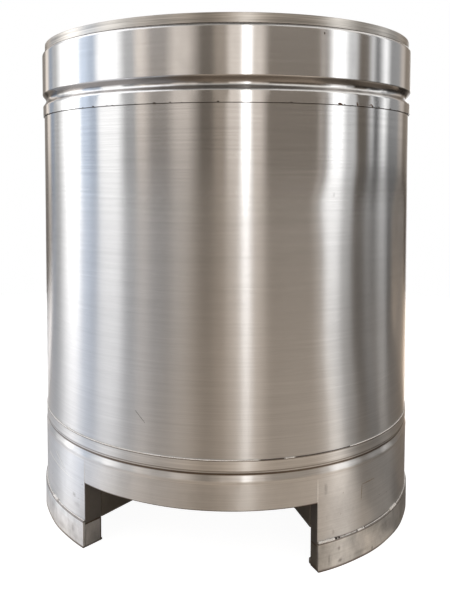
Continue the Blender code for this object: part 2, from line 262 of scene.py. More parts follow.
@dataclass(frozen=True)
class Steel:
    """A bare steel finish: brushed or plain, with its grain, clouding, wear, smudges and level bands of
    painted shade.
    """

    name: str
    slot: Slot
    colour: Colour
    roughness: float
    grain: Grain = Grain.ROUND
    anisotropy: float = 0.85
    metallic: float = 1.0
    line_tone: float = 0.10
    line_roughness: float = 0.05
    line_depth: float = 0.000012
    cloud_tone: float = 0.06
    cloud_roughness: float = 0.04
    cloud_scale: float = 5.0
    wears: tuple[Wear, ...] = ()
    speckle: float = 0.0
    stain_colour: Colour = (0.16, 0.13, 0.11)
    stains: tuple[Stain, ...] = ()
    # The colour and the level bands of painted shade in grooves, crevices and creases.
    shade_colour: Colour = (0.115, 0.085, 0.062)
    shade_bands: tuple[ShadeBand, ...] = ()

    def material(self) -> bpy.types.Material:
        """Builds the finish's node material.

        Returns:
            The material, on Object coordinates throughout.
        """
        material, wires, shader, place = start_material(self.name)
        scales = (*self.grain.value, (self.cloud_scale, self.cloud_scale, 0.7 * self.cloud_scale))
        noises = [wires.noise(wires.vector("MULTIPLY", place, scale), detail=detail, roughness=0.6)
                  for scale, detail in zip(scales, (2.0, 3.0, 4.0))]
        fine, coarse, cloudy = (wires.minus(noise, 0.5) for noise in noises)
        grain = wires.math("ADD", fine, coarse)
        height = wires.part(place, "Z")

        roughness = wires.fused(grain, self.line_roughness * 2.0, self.roughness)
        roughness = wires.fused(cloudy, self.cloud_roughness * 2.0, roughness)
        for wear in self.wears:
            roughness = wires.fused(wires.map_range(height, wear.top, wear.bottom), wear.roughness, roughness)
        if self.speckle:
            dust = wires.out("ShaderNodeTexWhiteNoise", {"Vector": wires.scale(place, SPECKLE_SCALE)}, "Value")
            roughness = wires.fused(wires.minus(dust, 0.5), 2.0 * self.speckle, roughness)

        tone = wires.fused(grain, self.line_tone * 2.0, 1.0)
        colour = wires.scale(self.colour, wires.fused(cloudy, -self.cloud_tone * 2.0, tone))
        # Painted shade: each band darkens the colour towards the shade colour.
        for shade_band in self.shade_bands:
            away = wires.math("ABSOLUTE", wires.minus(height, shade_band.height))
            frayed = wires.fused(coarse, shade_band.reach, away)
            mask = wires.map_range(frayed, shade_band.reach, 0.4 * shade_band.reach, 0.0, shade_band.strength)
            colour = wires.mix(mask, colour, self.shade_colour)
        if self.stains:
            mask = self.stain_mask(wires, place, noises[-1])
            colour = wires.mix(mask, colour, self.stain_colour)
            roughness = wires.fused(mask, 0.25, roughness)

        wires.feed(shader.inputs["Base Color"], colour)
        wires.feed(shader.inputs["Roughness"], roughness)
        shader.inputs["Metallic"].default_value = self.metallic
        if self.grain is Grain.ROUND:
            shader.inputs["Anisotropic"].default_value = self.anisotropy
            shader.inputs["Anisotropic Rotation"].default_value = ACROSS_GRAIN
            wires.feed(shader.inputs["Tangent"], wires.vector("CROSS_PRODUCT", (0.0, 0.0, 1.0), place))
        if self.line_depth:
            inputs = {"Height": wires.fused(cloudy, 0.3, grain), "Strength": 1.0, "Distance": self.line_depth}
            wires.feed(shader.inputs["Normal"], wires.out("ShaderNodeBump", inputs))
        return material

    def stain_mask(self, wires: Wiring, place: Socket, cloud: Socket) -> Socket:
        """One mask for all the smudges.

        Args:
            wires: the material's tree.
            place: the Object coordinates.
            cloud: a noise that frays the smudges' edges.

        Returns:
            The mask's socket, from 0 to 1.
        """
        fray = wires.noise(place, scale=90.0, detail=3.0, roughness=0.7)
        mask: object = 0.0
        for stain in self.stains:
            away = wires.vector("SUBTRACT", place, stain.centre())
            away = wires.vector("DIVIDE", away, (stain.width, stain.width, stain.rise))
            reach = wires.out("ShaderNodeVectorMath", {0: away}, "Value", operation="LENGTH")
            reach = wires.fused(cloud, 0.5, wires.fused(fray, 1.1, reach))
            mask = wires.math("MAXIMUM", mask, wires.map_range(reach, 1.75, 0.75, 0.0, stain.strength))
        return mask


@dataclass(frozen=True)
class Fleck:
    """A small dark or bright finish for weld metal, rust and grime, and for painted shade and painted glints,
    of two colours in patches.
    """

    name: str
    slot: Slot
    colour: Colour
    second: Colour
    metallic: float
    roughness: float
    scale: float = 220.0

    def material(self) -> bpy.types.Material:
        """Builds the finish's node material.

        Returns:
            The material, on Object coordinates throughout.
        """
        material, wires, shader, place = start_material(self.name)
        patches = wires.noise(place, scale=self.scale, detail=3.0, roughness=0.65)
        colour = wires.mix(wires.map_range(patches, 0.38, 0.62), self.colour, self.second)
        wires.feed(shader.inputs["Base Color"], colour)
        wires.feed(shader.inputs["Roughness"], wires.fused(patches, 0.2, self.roughness - 0.1))
        shader.inputs["Metallic"].default_value = self.metallic
        inputs = {"Height": patches, "Strength": 1.0, "Distance": 0.0001}
        wires.feed(shader.inputs["Normal"], wires.out("ShaderNodeBump", inputs))
        return material


FOOT_STAINS = (
    Stain(35.4, 0.232, 0.010, 0.030, 0.45),
    Stain(35.8, 0.146, 0.0035, 0.026, 0.55),
    Stain(37.9, 0.103, 0.008, 0.012, 0.50),
    Stain(43.0, 0.120, 0.030, 0.008, 0.16),
    # A broad soft darkening of the right foot's skin.
    Stain(40.0, 0.155, 0.095, 0.110, 0.17),
    Stain(-38.0, 0.145, 0.012, 0.008, 0.45),
    Stain(-36.5, 0.120, 0.030, 0.015, 0.20),
)
BASE_STAINS = tuple(Stain(*sizes, radius=0.634) for sizes in (
    (39.4, 0.055, 0.007, 0.010, 0.60),
    (39.8, 0.018, 0.012, 0.011, 0.65),
    (36.2, 0.030, 0.0035, 0.024, 0.55),
    (52.1, 0.010, 0.007, 0.008, 0.75),
    (47.0, 0.020, 0.050, 0.010, 0.28),
    (60.0, 0.012, 0.080, 0.010, 0.30),
    (58.5, 0.045, 0.090, 0.060, 0.34),
    (-38.0, 0.040, 0.012, 0.020, 0.40),
    (-45.0, 0.022, 0.050, 0.016, 0.30),
))
# Painted shade on the groove's upper slope, low in the groove and in the crevice under the rim.
GROOVE_SHADES = (ShadeBand(1.3670, 0.0115, 0.70), ShadeBand(1.3462, 0.0060, 0.48), ShadeBand(1.5135, 0.0017, 0.60))
# Painted shade in the bead's hollows and in the crease along the lap's top edge.
BEAD_SHADES = (ShadeBand(0.2995, 0.0046, 0.92), ShadeBand(0.3075, 0.0020, 0.60), ShadeBand(0.3362, 0.0016, 0.85))
# Painted shade along the apron's bottom edge, over the opening.
APRON_SHADES = (ShadeBand(0.1975, 0.0028, 0.90),)
# Painted shade where the base's plates meet the floor, and in the creases at the top of the band, the skirt's
# seam and the deck.
BASE_SHADES = (ShadeBand(0.0, 0.0085, 0.95), ShadeBand(0.0800, 0.0028, 0.70))
SKIRT_SHADES = (ShadeBand(0.0846, 0.0026, 0.50),)
END_SHADES = (ShadeBand(0.0, 0.0060, 0.80), ShadeBand(0.0716, 0.0034, 0.95))
STRIP_SHADES = (ShadeBand(0.0, 0.0170, 0.60), ShadeBand(0.0716, 0.0020, 0.60))
WALL_WEARS = (Wear(1.29, 0.95, 0.118), Wear(0.85, 0.36, 0.015))
WALL_STEEL = Steel(
    "brushed_wall", Slot.WALL, (0.605, 0.60, 0.597), 0.165, anisotropy=1.0, wears=WALL_WEARS, speckle=0.022,
    line_tone=0.125, line_roughness=0.0, cloud_roughness=0.0, line_depth=0.0)
COLLAR_STEEL = Steel(
    "brushed_collar", Slot.COLLAR, (0.645, 0.64, 0.637), 0.170, anisotropy=1.0, line_tone=0.06,
    line_roughness=0.02, line_depth=0.0, cloud_tone=0.12, cloud_scale=11.0, shade_bands=GROOVE_SHADES)
SKIRT_STEEL = Steel(
    "brushed_skirt", Slot.WALL, (0.645, 0.635, 0.625), 0.34, anisotropy=0.92, line_tone=0.13,
    line_roughness=0.03, line_depth=0.000008, cloud_tone=0.30, cloud_roughness=0.05, stains=FOOT_STAINS,
    shade_bands=SKIRT_SHADES)
# Painted light: a lighter, cooler copy of the skirt steel for the left foot, which stands in brighter light.
LIT_LEFT_SKIRT_STEEL = replace(SKIRT_STEEL, name="brushed_skirt_lit_left", colour=(0.635, 0.64, 0.65), shade_bands=())
APRON_STEEL = replace(SKIRT_STEEL, name="brushed_apron", stains=(), shade_bands=APRON_SHADES)
BEAD_STEEL = Steel(
    "rolled_bead", Slot.WALL, (0.655, 0.645, 0.635), 0.295, anisotropy=0.93, line_tone=0.22,
    line_roughness=0.01, cloud_roughness=0.01, line_depth=0.000003, shade_bands=BEAD_SHADES)
RIM_STEEL = Steel(
    "turned_rim", Slot.RIM, (0.55, 0.52, 0.48), 0.36, line_tone=0.60, line_roughness=0.06,
    line_depth=0.00003)
BASE_STEEL = Steel(
    "dull_base", Slot.BASE, (0.58, 0.575, 0.565), 0.37, anisotropy=0.8, line_tone=0.14, cloud_tone=0.80,
    cloud_roughness=0.12, cloud_scale=15.0, stains=BASE_STAINS, shade_bands=BASE_SHADES)
# Painted light: a lighter, cooler copy of the base steel for the left foot's band.
LIT_LEFT_BASE_STEEL = replace(BASE_STEEL, name="dull_base_lit_left", colour=(0.655, 0.675, 0.705))
# Dark plate under the tank: partly a dark mill finish, partly painted shade for the shade these plates stand
# in.
SHADED_PLATE_STEEL = Steel(
    "mill_plate", Slot.PLATE, (0.20, 0.185, 0.165), 0.52, grain=Grain.NONE, metallic=0.85, line_tone=0.12,
    cloud_tone=0.22, cloud_roughness=0.08, cloud_scale=11.0)
# Painted shade: the dark plate with bands of painted shade, for the lips and the right foot's base end caps.
SHADED_END_STEEL = replace(
    SHADED_PLATE_STEEL, name="shaded_end_plate", slot=Slot.BASE, cloud_scale=14.0, shade_bands=STRIP_SHADES)
# Painted shade: dark end plates of the feet, which face into the shaded openings.
SHADED_FOOT_END_STEEL = replace(
    SHADED_PLATE_STEEL, name="shaded_foot_end_plate", slot=Slot.WALL, colour=(0.195, 0.185, 0.175), roughness=0.48,
    metallic=0.9, line_tone=0.10, cloud_tone=0.20, cloud_scale=14.0, shade_bands=END_SHADES)
BASE_END_STEEL = replace(
    SHADED_PLATE_STEEL, name="base_end_plate", slot=Slot.BASE, colour=(0.56, 0.56, 0.565), roughness=0.46,
    metallic=0.9, cloud_tone=0.55, cloud_scale=18.0, shade_bands=END_SHADES)
# Near-white: partly the welds' own colour and partly painted glints on welds, bright scratches and two dings.
WELD_AND_GLINT = Fleck("weld_metal_and_glint", Slot.WALL, (0.97, 0.96, 0.94), (0.80, 0.77, 0.73), 0.2, 0.36)
# Dark grime for specks, burrs and pits, also painted shade in the gap under the collar and the crevice under
# the rim.
GRIME_AND_SHADE = Fleck("seam_grime_and_shade", Slot.WALL, (0.035, 0.030, 0.026), (0.09, 0.07, 0.055), 0.2, 0.75)
RUST = Fleck("rust_speck", Slot.WALL, (0.16, 0.075, 0.035), (0.06, 0.04, 0.03), 0.0, 0.85)
SCRIBE = Fleck("scribed_line", Slot.WALL, (0.20, 0.145, 0.10), (0.40, 0.34, 0.28), 0.5, 0.5)


class Palette:
    """Builds each finish's material once and hands it out."""

    def __init__(self) -> None:
        """Starts with no material built."""
        self.built: dict[str, bpy.types.Material] = {}

    def of(self, finish: Steel | Fleck) -> bpy.types.Material:
        """The material of a finish.

        Args:
            finish: the finish.

        Returns:
            Its material, the same one each time.
        """
        if finish.name not in self.built:
            self.built[finish.name] = finish.material()
        return self.built[finish.name]


PALETTE = Palette()


def register(obj: Piece, finish: Steel | Fleck, *nodes: str) -> None:
    """Dresses a finished piece and tells the frame about it.

    Args:
        obj: the piece, a plain mesh in place.
        finish: its finish.
        *nodes: the CAD nodes that it stands for.
    """
    obj.data.materials.clear()
    obj.data.materials.append(PALETTE.of(finish))
    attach(obj, "root")
    if nodes:
        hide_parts(*nodes)
    LOG.info("%s: %d faces for %s", obj.name, len(obj.data.polygons), ", ".join(nodes) or "the surface")


def link_mesh(name: str, mesh: bpy.types.Mesh) -> Piece:
    """Puts a mesh in the scene as an object at the origin.

    Args:
        name: the object's name.
        mesh: its mesh.

    Returns:
        The object.
    """
    obj = bpy.data.objects.new(name, mesh)
    bpy.context.scene.collection.objects.link(obj)
    return obj


def bake(obj: Piece) -> Piece:
    """Turns an object with modifiers, or a curve, into a plain mesh object at the origin.

    Args:
        obj: the object to turn.

    Returns:
        The new object, with the old one's name.
    """
    bpy.context.view_layer.update()
    graph = bpy.context.evaluated_depsgraph_get()
    mesh = bpy.data.meshes.new_from_object(obj.evaluated_get(graph), preserve_all_data_layers=True,
                                           depsgraph=graph)
    mesh.transform(obj.matrix_world)
    name = obj.name
    bpy.data.objects.remove(obj, do_unlink=True)
    return link_mesh(name, mesh)


def smooth(mesh: bpy.types.Mesh, angle: float = SHADE_ANGLE) -> None:
    """Shades a mesh smooth apart from its corners."""
    mesh.shade_smooth()
    mesh.set_sharp_from_angle(angle=math.radians(angle))


def face_outwards(mesh: bpy.types.Mesh, merge: float = 0.00001, flat: float = 0.0) -> None:
    """Merges a closed mesh's doubles and points its faces outwards.

    Args:
        mesh: the mesh, which is changed in place.
        merge: how far apart doubles may be.
        flat: the angle in degrees up to which faces are joined into one, if any.
    """
    shape = bmesh.new()
    shape.from_mesh(mesh)
    bmesh.ops.remove_doubles(shape, verts=shape.verts, dist=merge)
    if flat:
        bmesh.ops.dissolve_limit(shape, angle_limit=math.radians(flat), verts=shape.verts, edges=shape.edges)
    bmesh.ops.recalc_face_normals(shape, faces=shape.faces)
    shape.to_mesh(mesh)
    shape.free()


def ease_edges(obj: Piece, width: float, segments: int = 2) -> Piece:
    """Rounds a piece's corners and bakes it.

    Args:
        obj: the piece.
        width: how far the rounding reaches from each corner.
        segments: the rounding's number of faces.

    Returns:
        The baked piece.
    """
    bevel = obj.modifiers.new("Ease", "BEVEL")
    bevel.width = width
    bevel.segments = segments
    bevel.limit_method = "ANGLE"
    bevel.angle_limit = math.radians(50.0)
    obj.modifiers.new("Shade", "WEIGHTED_NORMAL").keep_sharp = True
    return bake(obj)


def sheet_section(outline: Sequence[Point2], thickness: float) -> list[Point2]:
    """A sheet's closed section from its outer face.

    Args:
        outline: the outer face's (radius, height) points, so that the sheet lies to the right of the way
            from the first to the last when up is ahead.
        thickness: the sheet's thickness.

    Returns:
        The outer points and then the inner ones, backwards.
    """
    points = np.array(outline, float)
    steps = np.diff(points, axis=0)
    steps /= np.linalg.norm(steps, axis=1)[:, None]
    normals = np.stack([steps[:, 1], -steps[:, 0]], axis=1)
    first, last = np.vstack([normals[:1], normals]), np.vstack([normals, normals[-1:]])
    spread = 1.0 + np.sum(first * last, axis=1)
    inner = points + thickness * (first + last) / spread[:, None]
    return [tuple(point) for point in (*points, *inner[::-1])]


def revolve(name: str, section: Sequence[Point2], start: float = 0.0, sweep: float = FULL_TURN,
            steps: int = 360, displace: Displace | None = None) -> Piece:
    """Turns a closed section round the axis into a closed mesh.

    Args:
        name: the object's name.
        section: the (radius, height) points. One that touches the axis may start and end on it.
        start: the azimuth where it starts.
        sweep: how far it turns.
        steps: how many faces there are on the way.
        displace: moves points outwards, from their azimuths in radians, radii and heights.

    Returns:
        The object.
    """
    full = sweep >= FULL_TURN
    count = steps if full else steps + 1
    angles = np.radians(start + sweep * np.arange(count) / steps)
    radii, heights = np.array(section, float).T
    turn, radius = np.meshgrid(angles, radii, indexing="ij")
    height = np.broadcast_to(heights, radius.shape)
    if displace is not None:
        radius = radius + displace(turn, radius, height) * (radius > ON_AXIS)
    corners = np.stack([radius * np.sin(turn), -radius * np.cos(turn), height], axis=-1).reshape(-1, 3)
    across = len(section)
    faces = []
    for index in range(steps):
        here, there = index * across, ((index + 1) % count) * across
        for point in range(across):
            after = (point + 1) % across
            if radii[point] > ON_AXIS or radii[after] > ON_AXIS:
                faces.append((here + point, there + point, there + after, here + after))
    if not full:
        faces.append(tuple(range(across)))
        faces.append(tuple(range((count - 1) * across, count * across))[::-1])
    return solid_of(name, corners.tolist(), faces)


def solid_of(name: str, corners: list, faces: list, angle: float = SHADE_ANGLE) -> Piece:
    """A closed piece from its corners and faces, shaded smooth apart from its edges.

    Args:
        name: the object's name.
        corners: the corners' places.
        faces: the faces' corner numbers.
        angle: the least angle of an edge, in degrees.

    Returns:
        The object.
    """
    mesh = bpy.data.meshes.new(name)
    mesh.from_pydata(corners, [], faces)
    face_outwards(mesh)
    smooth(mesh, angle)
    return link_mesh(name, mesh)


def split_rows(outline: Sequence[Point2], spacing: float = ROW, hold: float = 0.0008) -> list[Point2]:
    """Adds points to an outline, so that the shading of its flats doesn't run into its bends.

    Args:
        outline: the points to start from.
        spacing: how far apart two points may be.
        hold: how far from each corner the first added point is.

    Returns:
        The points with the new ones between them.
    """
    points: list[Point2] = [outline[0]]
    for first, second in zip(outline, outline[1:]):
        length = math.dist(first, second)
        reaches = [length]
        if length > 3 * hold:
            parts = max(1, math.ceil((length - 2 * hold) / spacing))
            reaches = [hold + (length - 2 * hold) * part / parts for part in range(parts + 1)] + reaches
        for share in (reach / length for reach in reaches):
            points.append(tuple(near + (far - near) * share for near, far in zip(first, second)))
    return points


def bevelled_copy(node: str, name: str, width: float) -> Piece:
    """A copy of a flat CAD plate with eased edges.

    Args:
        node: the CAD node.
        name: the copy's name.
        width: how far the easing reaches.

    Returns:
        The copy, baked.
    """
    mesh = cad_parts[node].data.copy()
    face_outwards(mesh, merge=0.00002, flat=1.0)
    mesh.shade_flat()
    return ease_edges(link_mesh(name, mesh), width)


class Growth:
    """A Geometry Nodes tree with named inputs, which is run once on an empty object."""

    def __init__(self, name: str, floats: Sequence[str], integers: Sequence[str]) -> None:
        """Starts the tree.

        Args:
            name: the tree's name.
            floats: the names of its number inputs.
            integers: the names of its whole-number inputs.
        """
        self.tree = bpy.data.node_groups.new(name, "GeometryNodeTree")
        self.wires = Wiring(self.tree)
        face = self.tree.interface
        face.new_socket(name="Geometry", in_out="OUTPUT", socket_type="NodeSocketGeometry")
        kinds = dict.fromkeys(floats, "Float") | dict.fromkeys(integers, "Int") | {"Material": "Material"}
        self.sockets = {
            label: face.new_socket(name=label, in_out="INPUT", socket_type=f"NodeSocket{kind}").identifier
            for label, kind in kinds.items()}
        self.entry = self.wires.add("NodeGroupInput")

    def __getitem__(self, label: str) -> Socket:
        """The socket of a named input."""
        return self.entry.outputs[label]

    def finish(self, geometry: Socket) -> None:
        """Ends the tree in Realize Instances and Set Material.

        Args:
            geometry: what the tree has made.
        """
        solid = self.wires.out("GeometryNodeRealizeInstances", {"Geometry": geometry})
        painted = self.wires.out("GeometryNodeSetMaterial", {"Geometry": solid, "Material": self["Material"]})
        self.wires.add("NodeGroupOutput", {"Geometry": painted})

    def run(self, name: str, finish: Steel | Fleck, sizes: object) -> Piece:
        """Runs the tree into a plain mesh object.

        Args:
            name: the object's name.
            finish: the finish that Set Material gives it.
            sizes: what holds the other inputs, under their names in small letters.

        Returns:
            The baked object.
        """
        obj = link_mesh(name, bpy.data.meshes.new(name))
        modifier = obj.modifiers.new("Grow", "NODES")
        modifier.node_group = self.tree
        for label, socket in self.sockets.items():
            field = label.lower().replace(" ", "_")
            modifier[socket] = PALETTE.of(finish) if label == "Material" else getattr(sizes, field)
        return bake(obj)


@dataclass(frozen=True)
class Dent:
    """A shallow dent in the wall, an upright hollow that fades out at its top, bottom and sides."""

    azimuth: float
    width: float
    bottom: float
    top: float
    fade: float
    depth: float


def rolled_wall_tree(dents: Sequence[Dent]) -> Growth:
    """The tree for a rolled wall with slow waves and dents.

    Args:
        dents: the dents that are pressed into it.

    Returns:
        The tree, whose result is the wall's outer face.
    """
    grow = Growth("rolled_wall", ("Radius", "Bottom", "Top", "Wave Height", "Wave Length"), ("Rows",))
    wires, bottom, top, length = grow.wires, grow["Bottom"], grow["Top"], grow["Wave Length"]
    inputs = {"Vertices": WALL_STEPS, "Side Segments": grow["Rows"], "Radius": grow["Radius"],
              "Depth": wires.minus(top, bottom)}
    wall = wires.out("GeometryNodeMeshCylinder", inputs, "Mesh", fill_type="NONE")
    lift = wires.combine(up=wires.times(wires.math("ADD", top, bottom), 0.5))
    stood = wires.out("GeometryNodeTransform", {"Geometry": wall, "Translation": lift})
    place = wires.out("GeometryNodeInputPosition")
    azimuth, height = wires.azimuth(place), wires.part(place, "Z")
    outward = wires.vector("NORMALIZE", wires.vector("MULTIPLY", place, (1.0, 1.0, 0.0)))
    scaled = wires.vector("DIVIDE", wires.vector("MULTIPLY", place, (1.0, 1.0, 0.45)),
                          wires.combine(length, length, length))
    wave = wires.minus(wires.noise(scaled, detail=2.0, roughness=0.45), 0.5)
    push = wires.times(wave, wires.times(grow["Wave Height"], 2.0))
    for dent in dents:
        aside = wires.math("ABSOLUTE", wires.minus(azimuth, math.radians(dent.azimuth)))
        press = wires.map_range(aside, math.radians(dent.width), 0.0, 0.0, -dent.depth)
        below = wires.map_range(height, dent.top, dent.top - dent.fade)
        above = wires.map_range(height, dent.bottom, dent.bottom + 2.0 * dent.fade)
        push = wires.fused(press, wires.times(below, above), push)
    inputs = {"Geometry": stood, "Offset": wires.scale(outward, push)}
    grow.finish(wires.out("GeometryNodeSetPosition", inputs))
    return grow


def bead_tree() -> Growth:
    """The tree for a weld bead that follows an arc round the tank.

    Returns:
        The tree, whose result is a closed tube, uneven in width.
    """
    floats = ("Radius", "Height", "Start", "Sweep", "Thickness", "Unevenness", "Wander", "Seed")
    grow = Growth("weld_bead", floats, ("Count",))
    wires, count = grow.wires, grow["Count"]
    line = wires.out("GeometryNodeMeshLine", {"Count": count}, mode="OFFSET", count_mode="TOTAL")
    share = wires.math("DIVIDE", wires.out("GeometryNodeInputIndex"), wires.minus(count, 1.0))
    azimuth = wires.fused(share, grow["Sweep"], grow["Start"])
    seeded = wires.combine(wires.times(azimuth, 200.0), grow["Seed"])
    wander = wires.minus(wires.noise(seeded, scale=0.15, detail=2.0), 0.5)
    point = wires.on_circle(azimuth, grow["Radius"], wires.fused(wander, grow["Wander"], grow["Height"]))
    placed = wires.out("GeometryNodeSetPosition", {"Geometry": line, "Position": point})
    lumps = wires.minus(wires.noise(seeded, scale=0.9, detail=3.0, roughness=0.7), 0.5)
    swell = wires.math("MAXIMUM", wires.fused(lumps, grow["Unevenness"], 1.0), 0.15)
    curve = wires.out("GeometryNodeMeshToCurve", {"Mesh": placed})
    round_bar = {"Resolution": 8, "Radius": grow["Thickness"]}
    ring = wires.out("GeometryNodeCurvePrimitiveCircle", round_bar, mode="RADIUS")
    inputs = {"Curve": curve, "Profile Curve": ring, "Scale": swell, "Fill Caps": True}
    grow.finish(wires.out("GeometryNodeCurveToMesh", inputs))
    return grow


def fleck_tree() -> Growth:
    """The tree for small flecks scattered on a band of the wall.

    Returns:
        The tree, whose result is the flecks.
    """
    floats = ("Radius", "Height", "Spread", "Start", "Sweep", "Size", "Stretch", "Relief")
    grow = Growth("wall_flecks", floats, ("Count", "Seed"))
    wires = grow.wires

    def draw(offset: float, low: object, high: object) -> Socket:
        """A random number for each fleck between two bounds."""
        inputs = {2: low, 3: high, "Seed": wires.math("ADD", grow["Seed"], offset)}
        return wires.out("FunctionNodeRandomValue", inputs, 1, data_type="FLOAT")

    azimuth = draw(1.0, grow["Start"], wires.math("ADD", grow["Start"], grow["Sweep"]))
    spread = wires.times(draw(2.0, -1.0, 1.0), draw(3.0, 0.0, 1.0))
    point = wires.on_circle(azimuth, grow["Radius"], wires.fused(spread, grow["Spread"], grow["Height"]))
    points = wires.out("GeometryNodePoints", {"Count": grow["Count"], "Position": point})
    lump = wires.out("GeometryNodeMeshIcoSphere", {"Radius": 1.0, "Subdivisions": 2})
    size = wires.times(grow["Size"], draw(4.0, 0.35, 1.0))
    scale = wires.combine(wires.times(size, grow["Stretch"]), grow["Relief"], size)
    inputs = {"Points": points, "Instance": lump, "Rotation": wires.combine(up=azimuth), "Scale": scale}
    grow.finish(wires.out("GeometryNodeInstanceOnPoints", inputs))
    return grow


def waves(turn: np.ndarray, height: np.ndarray, length: float, seed: int, terms: int = 7) -> np.ndarray:
    """A slow uneven wave round the tank, about -1 to 1, that closes on itself.

    Args:
        turn: azimuths in radians.
        height: heights.
        length: about how long a wave is along the wall.
        seed: picks one of many such waves.
        terms: how many sines it sums.

    Returns:
        The wave at each point.
    """
    draws = np.random.default_rng(seed)
    total = np.zeros_like(turn)
    main_cycles = 2.0 * math.pi * BODY_RADIUS / length
    for _ in range(terms):
        cycles = max(1, round(main_cycles * draws.uniform(0.6, 1.5)))
        lean = draws.uniform(-1.0, 1.0) * 3.0 / length
        total += draws.uniform(0.5, 1.0) * np.sin(cycles * turn + lean * height + draws.uniform(0.0, 6.28))
    return total / math.sqrt(terms)


@dataclass
class Wall:
    """The plain rolled wall, with its slow waves and the dents of use."""

    radius: float = BODY_RADIUS
    sheet: float = 0.003
    bottom: float = 0.3215
    top: float = 1.3215
    wave_height: float = 0.0007
    wave_length: float = 0.33
    rows: int = 100
    dents: tuple[Dent, ...] = (
        Dent(53.0, 27.0, 0.400, 1.150, 0.130, 0.0050),
        Dent(36.5, 9.0, 0.880, 1.120, 0.090, 0.0012),
        Dent(69.0, 9.0, 0.420, 1.130, 0.150, 0.0048),
    )

    def build(self) -> None:
        """Grows the wall's outer face, gives it its thickness and dresses it."""
        wall = rolled_wall_tree(self.dents).run("wall_sheet", WALL_STEEL, self)
        solidify = wall.modifiers.new("Sheet", "SOLIDIFY")
        solidify.thickness = self.sheet
        solidify.offset = -1.0
        wall = bake(wall)
        smooth(wall.data)
        register(wall, WALL_STEEL, "shell")


@dataclass
class Collar:
    """The grooved collar and the stacking rim on it."""

    sheet: float = 0.0035
    bottom: float = 1.3055
    lap_radius: float = 0.6288
    band_radius: float = 0.6303
    groove_bottom: float = 1.3365
    groove_top: float = 1.3775
    groove_depth: float = 0.0110
    groove_upper_power: float = 1.15
    groove_lower_power: float = 1.60
    groove_steps: int = 28
    shoulder: float = 0.0095
    shoulder_steps: int = 8
    top: float = 1.5135
    flange_radius: float = 0.6000
    rim_radius: float = 0.6213
    rim_width: float = 0.0120
    rim_top: float = 1.5410

    def outline(self) -> list[Point2]:
        """The collar's outer face, from its inner flange down to its lower edge.

        Returns:
            Its (radius, height) points.
        """
        points = [(self.flange_radius, self.top)]
        for step in range(self.shoulder_steps + 1):
            angle = math.pi / 2 * step / self.shoulder_steps
            points.append((self.band_radius - self.shoulder * (1 - math.sin(angle)),
                           self.top - self.shoulder * (1 - math.cos(angle))))
        points += split_rows([points[-1], (self.band_radius, self.groove_top)])[1:]
        for step in range(1, self.groove_steps):
            share = step / self.groove_steps
            band = self.band_radius + (self.lap_radius - self.band_radius) * share
            power = self.groove_upper_power if share < 0.5 else self.groove_lower_power
            depth = self.groove_depth * math.sin(math.pi * share) ** power
            points.append((band - depth, self.groove_top + (self.groove_bottom - self.groove_top) * share))
        lap_top = (self.lap_radius, self.groove_bottom)
        return points[:-1] + split_rows([lap_top, (self.lap_radius, self.bottom)])

    def unevenness(self, turn: np.ndarray, radius: np.ndarray, height: np.ndarray) -> np.ndarray:
        """The rolled metal's waves: slow on the band, short and stronger in the groove.

        Args:
            turn: azimuths in radians.
            radius: radii, not used.
            height: heights.

        Returns:
            How far each point moves outwards.
        """
        upright = UPRIGHT * height
        short = 0.00045 * waves(turn, upright, 0.075, 12) + 0.0003 * waves(turn, upright, 0.032, 13)
        in_groove = np.exp(-((height - (self.groove_bottom + 0.012)) / 0.016) ** 2)
        return 0.0005 * waves(turn, height, 0.40, 11) + in_groove * short

    def build(self) -> None:
        """Makes and dresses the collar and the rim."""
        section = sheet_section(self.outline(), self.sheet)
        register(revolve("collar_ring", section, displace=self.unevenness), COLLAR_STEEL, "top_collar")
        inner = self.rim_radius - self.rim_width
        foot = self.top + TOUCH
        section = split_rows([(inner, foot), (inner, self.rim_top), (self.rim_radius, self.rim_top),
                              (self.rim_radius, foot)], 0.009)
        register(ease_edges(revolve("rim_bar", section), 0.0034, 3), RIM_STEEL, "stacking_rim")


